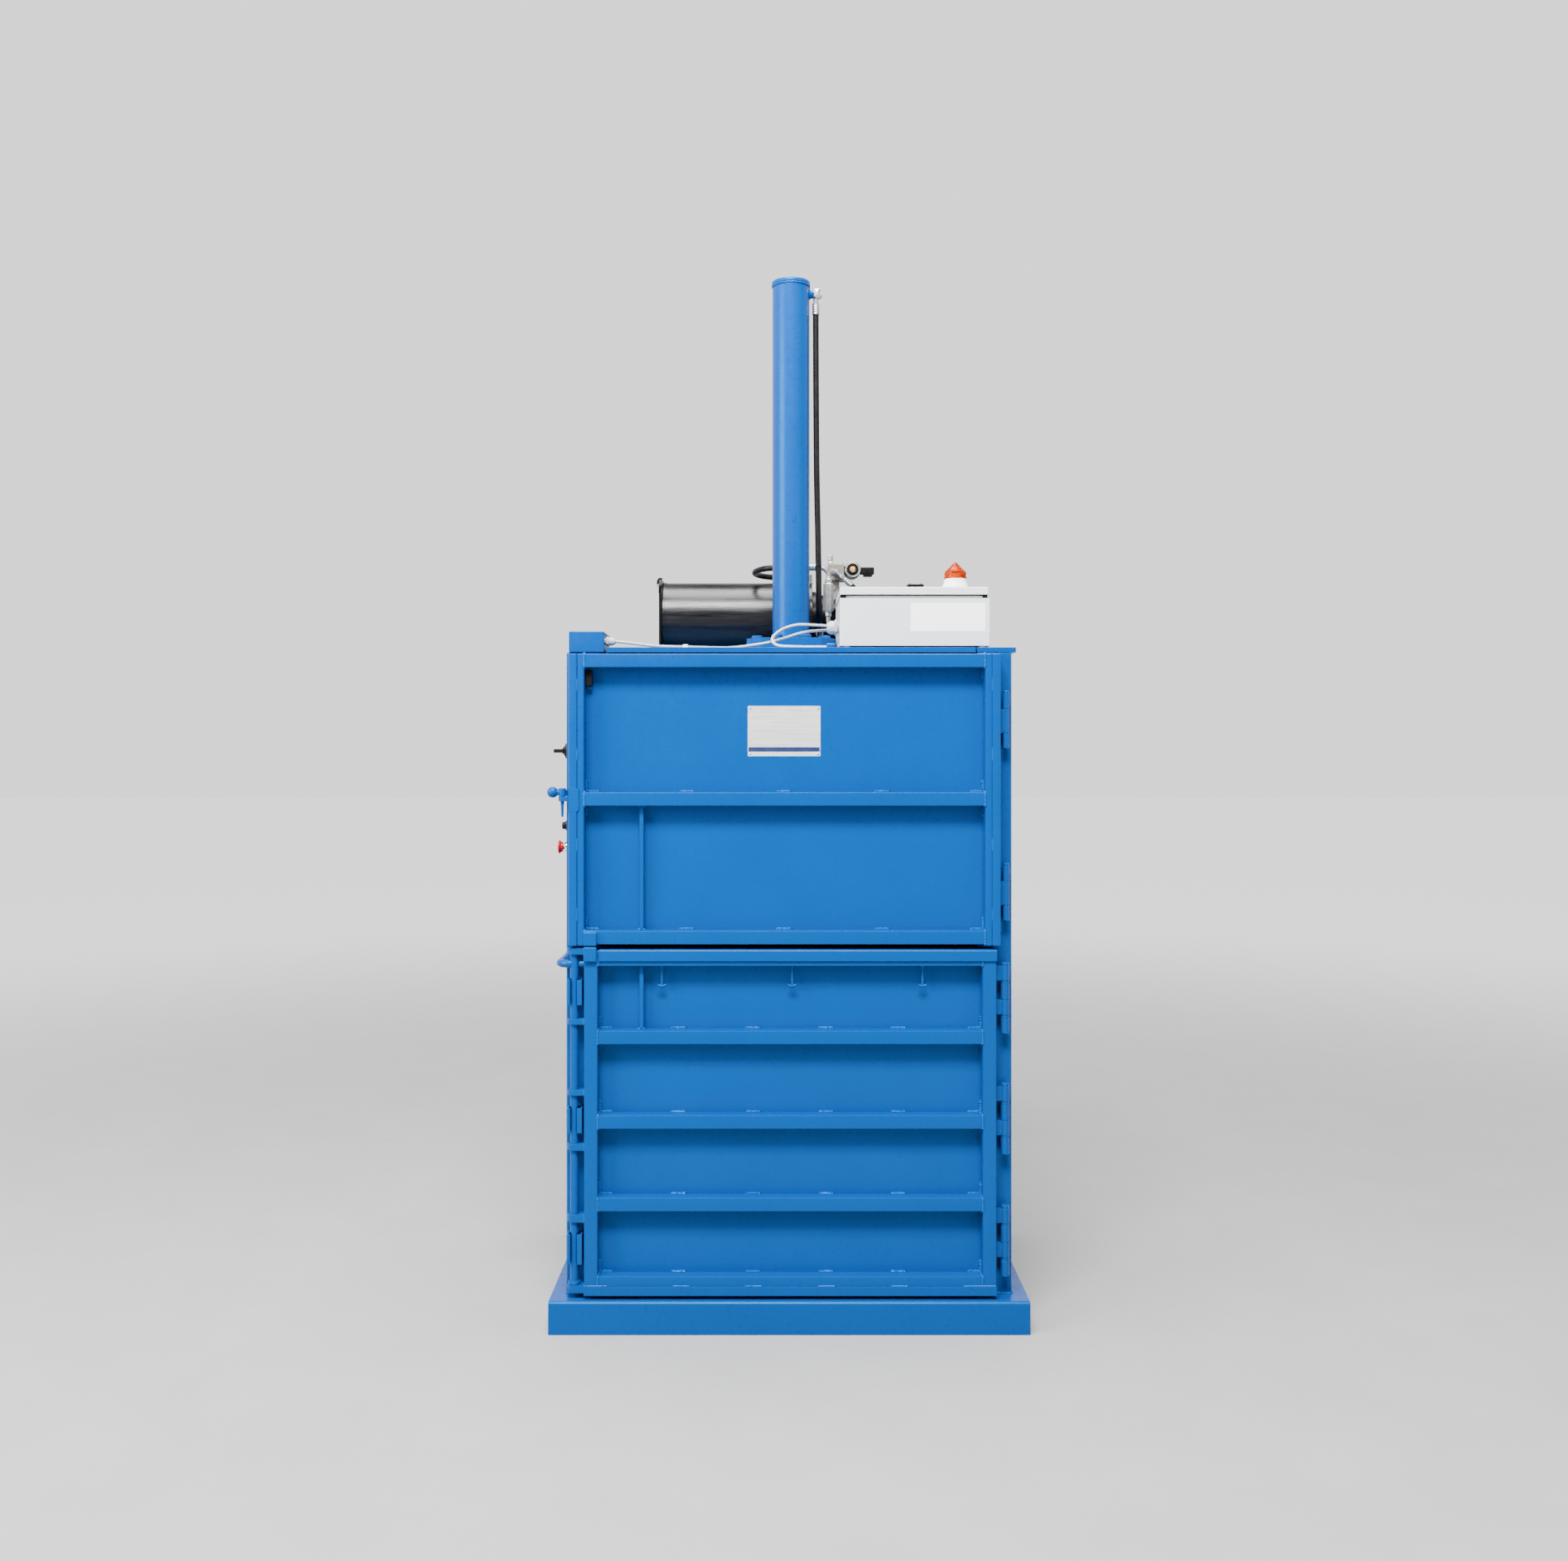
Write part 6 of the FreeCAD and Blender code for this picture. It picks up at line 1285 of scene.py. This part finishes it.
def plates():
    """The bare name plate with rivets and stripe, and the door switch magnet."""
    low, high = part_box("name_plate")
    plate = Form().prism("y", rounded((low.x, low.z), (high.x, high.z), 3), low.y, high.y, 0.3)
    piece("maker_plate", plate, "plate", "name_plate")
    stripe = Form().block((low.x + 0.002, low.y - 0.00025, low.z + 0.0135),
                          (high.x - 0.002, low.y + 0.0002, low.z + 0.0265), 0.05, 1)
    piece("plate_stripe", stripe, "stripe", body="upper_door")
    rivets = Form()
    for x, z in product((low.x + 0.007, high.x - 0.007), (low.z + 0.007, high.z - 0.007)):
        rivets.turned("-y", (x, low.y + 0.0002, z), [
            (3.4, 0), (3.4, 0.8), (2.6, 1.6), (1.2, 2)], 18)
    piece("plate_rivets", rivets, "steel", body="upper_door")
    low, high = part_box("door_magnet")
    magnet = Form().block(low, high, 3, 3)
    magnet.turned("-y", ((low.x + high.x) / 2, low.y + 0.002, high.z - 0.01), [
        (3.5, 0), (3.5, 2.4), (2.5, 3)], 18)
    foot = Form().block((low.x + 0.004, low.y + 0.01, low.z - 0.0095),
                        (high.x - 0.001, high.y + 0.001, low.z))
    piece("magnet_foot", foot, "blue", body="upper_door")
    piece("door_switch_magnet", magnet, "black", "door_magnet")


def clips():
    """Cable ties around the hose and the cables, and a clip."""
    ties = Form()
    for middle, radius, way in (((0.0957, -0.0436, 2.2575), 10.3, (0.01, 0, 1)),
                                ((-0.052, -0.269, 2.0005), 11.2, (0.9, 0.1, 0.35))):
        along = Vector(way).normalized()
        across = along.orthogonal().normalized()
        other = along.cross(across)
        ties.tube([Vector(middle) + (across * spot[0] + other * spot[1])
                   for spot in circle("z", (0, 0, 0), radius, 28)], 1.1, 6, closed=True)
        head = Vector(middle) - Vector((0, radius * MM + 0.001, 0))
        half = Vector((0.0026, 0.002, 0.002))
        ties.block(head - half, head + half, 0.5)
    piece("cable_ties", ties, "black")
    clip = Form().block((-0.313, -0.358, ROOF), (-0.297, -0.336, ROOF + 0.0125), 3, 3)
    piece("cable_clip", clip, "white_plastic")


def angle_fitting():
    """The angled hose fitting on the valve block, with its cap."""
    start = Vector((0.16, BLOCK_LOW[1], 2.262))
    knee, along = start + Vector((0, -0.017, 0)), Vector((0.751, 0, -0.66))
    fitting = Form().hexagon("-y", start, 21, 10)
    fitting.tube([start, start + Vector((0, -0.01, 0)), knee, knee + along * 0.012,
                  knee + along * 0.02], [7.2, 7.2, 7.8, 7.2, 7.2], 20)
    fitting.hexagon(along, knee + along * 0.018, 19, 11)
    fitting.crimped(along, knee + along * 0.03, 36, 7.5, 9.5)
    piece("angle_fitting", fitting, "zinc")
    piece("angle_fitting_cap", Form().turned(along, knee + along * 0.065, [
        (7.8, 0), (8.4, 1), (8.4, 12), (7, 13.5)]), "black")


# ---- gear in the enclosure


def gear():
    """The mounting board with contactors, a supply and a terminal rail."""
    board, bodies, fronts, screws = Form(), Form(), Form(), Form()
    floor = 1.994
    board.block((0.175, -0.306, 1.985), (0.573, -0.054, floor), 1.2)
    for left in (0.2, 0.255, 0.31, 0.365):
        bodies.block((left, -0.266, floor), (left + 0.045, -0.186, 2.046))
        fronts.block((left + 0.006, -0.254, 2.044), (left + 0.039, -0.198, 2.066), 1.8)
        for step, y in product(range(3), (-0.2605, -0.1915)):
            screws.turned("z", (left + 0.009 + 0.0135 * step, y, 2.0455), [
                (3.5, 0), (3.5, 0.8), (2.8, 1.4)], 14)
    bodies.block((0.443, -0.266, floor), (0.543, -0.176, 2.058), 2)
    for step in range(9):
        left = 0.453 + 0.009 * step
        bodies.block((left, -0.258, 2.0575), (left + 0.004, -0.184, 2.06), 0.4, 1)
    wide = 0.333 / 36
    for step in range(36):
        left = 0.2 + wide * step
        bodies.block((left + 0.0003, -0.139, floor), (left + wide - 0.0003, -0.089, 2.034), 0.6, 1)
        for y in (-0.13, -0.098):
            screws.turned("z", (left + wide / 2, y, 2.0338), [(2.6, 0), (2.6, 0.6)], 12)
    for name, form, look in (("board", board, "zinc"), ("bodies", bodies, "light_plastic"),
                             ("fronts", fronts, "black"), ("screws", screws, "steel")):
        piece("gear_" + name, form, look, "control_gear")


for build in (hinges, lock_shaft, keepers, latch, controls, plates, clips, angle_fitting, gear):
    build()

# ---- CAD nodes

for softened in (                     # name, node, finish and softness
        ("press_plate", "platen", "inner_blue", 1.5),
        ("guide_shoes", "platen_shoes", "slide_plastic", 1.2),
        ("roof_beams", "top_beams", "inner_blue", 2.2),
        ("chamber_floor", "floor_plate", "inner_blue", 0.8)):
    soften_node(*softened)

for look, nodes in {                  # the nodes that show as they are
        "blue": ("left_side_sheet", "right_side_sheet", "rear_sheet", "upper_door_sheet",
                 "lower_door_sheet"),
        "steel": ("cylinder_gland", "piston"), "chrome": ("piston_rod",),
        "zinc": ("lid_hinge_pins",)}.items():
    for node in nodes:
        data = frame["nodes"][node].data
        data.materials.clear()
        data.materials.append(FINISHES[look][0])

# ---- floor and light

FLOOR_SIZE = 120.0
FLOOR_GLOWS = (0.1, 1.38)            # near the machine and far away from it
BACK_GLOW, FRONT_GLOW, ABOVE_GLOW = 1.5, 0.18, 0.12


def make_floor():
    """A pale studio floor that glows more the further it runs, to fade into the backdrop."""
    paint = Surface("studio_floor", Specular_IOR_Level=0.1, Emission_Color=(1, 1, 1, 1))
    paint.colour((3.0,), [(0.3, (0.26, 0.26, 0.26)), (0.7, (0.28, 0.28, 0.28))])
    paint.roughness((30.0,), 0.5, 0.7)
    away = paint.node("ShaderNodeVectorMath", Vector=paint.space)
    away.operation = "LENGTH"
    glow = paint.node("ShaderNodeMapRange", Value=away.outputs["Value"], From_Min=1.5,
                      From_Max=11.0, To_Min=FLOOR_GLOWS[0], To_Max=FLOOR_GLOWS[1])
    glow.interpolation_type = "SMOOTHSTEP"
    paint.links.new(glow.outputs["Result"], paint.shader.inputs["Emission Strength"])
    mesh = bmesh.new()
    bmesh.ops.create_grid(mesh, x_segments=1, y_segments=1, size=FLOOR_SIZE / 2)
    data = bpy.data.meshes.new("Floor")
    mesh.to_mesh(data)
    mesh.free()
    data.materials.append(paint.material)
    put("Floor", data)


def area_light(name, place, target, size, power):
    """A large soft light aimed at a point."""
    data = bpy.data.lights.new(name, "AREA")
    data.shape = "RECTANGLE"
    data.size, data.size_y = size
    data.energy = power
    put(name, data, place, (Vector(target) - Vector(place)).to_track_quat("-Z", "Y").to_euler())


def make_world():
    """A surround that is bright behind the machine and dimmer in front of it and above."""
    world = bpy.data.worlds.new("Studio")
    world.use_nodes = True
    nodes, links = world.node_tree.nodes, world.node_tree.links
    parts = nodes.new("ShaderNodeSeparateXYZ")
    links.new(nodes.new("ShaderNodeTexCoord").outputs["Generated"], parts.inputs[0])

    def ramp(axis, start, end, low, high):
        made = nodes.new("ShaderNodeMapRange")
        links.new(parts.outputs[axis], made.inputs["Value"])
        for socket, value in zip(("From Min", "From Max", "To Min", "To Max"),
                                 (start, end, low, high)):
            made.inputs[socket].default_value = value
        return made

    glow = ramp("Y", -0.5, 0.4, FRONT_GLOW, BACK_GLOW)
    above = ramp("Z", 0.5, 0.7, 0, ABOVE_GLOW)
    links.new(glow.outputs["Result"], above.inputs["To Min"])
    back = nodes["Background"]
    back.inputs["Color"].default_value = (1, 1, 1, 1)
    links.new(above.outputs["Result"], back.inputs["Strength"])
    bpy.context.scene.world = world


make_floor()
make_world()
area_light("Key", (-4.3, -2.9, 3.4), (0, -0.2, 1.5), (2.6, 2.4), 470)
area_light("Fill", (4.2, -4.0, 2.6), (0, -0.2, 1.3), (2.2, 2.4), 60)
area_light("Front", (-0.5, -4.6, 7.2), (0, -0.4, 0.8), (4.0, 1.8), 2250)
area_light("Overhead", (-0.2, 0.05, 5.2), (-0.2, 0.0501, 2.0), (2.4, 1.9), 400)

# ---- update the scene

bpy.context.view_layer.update()
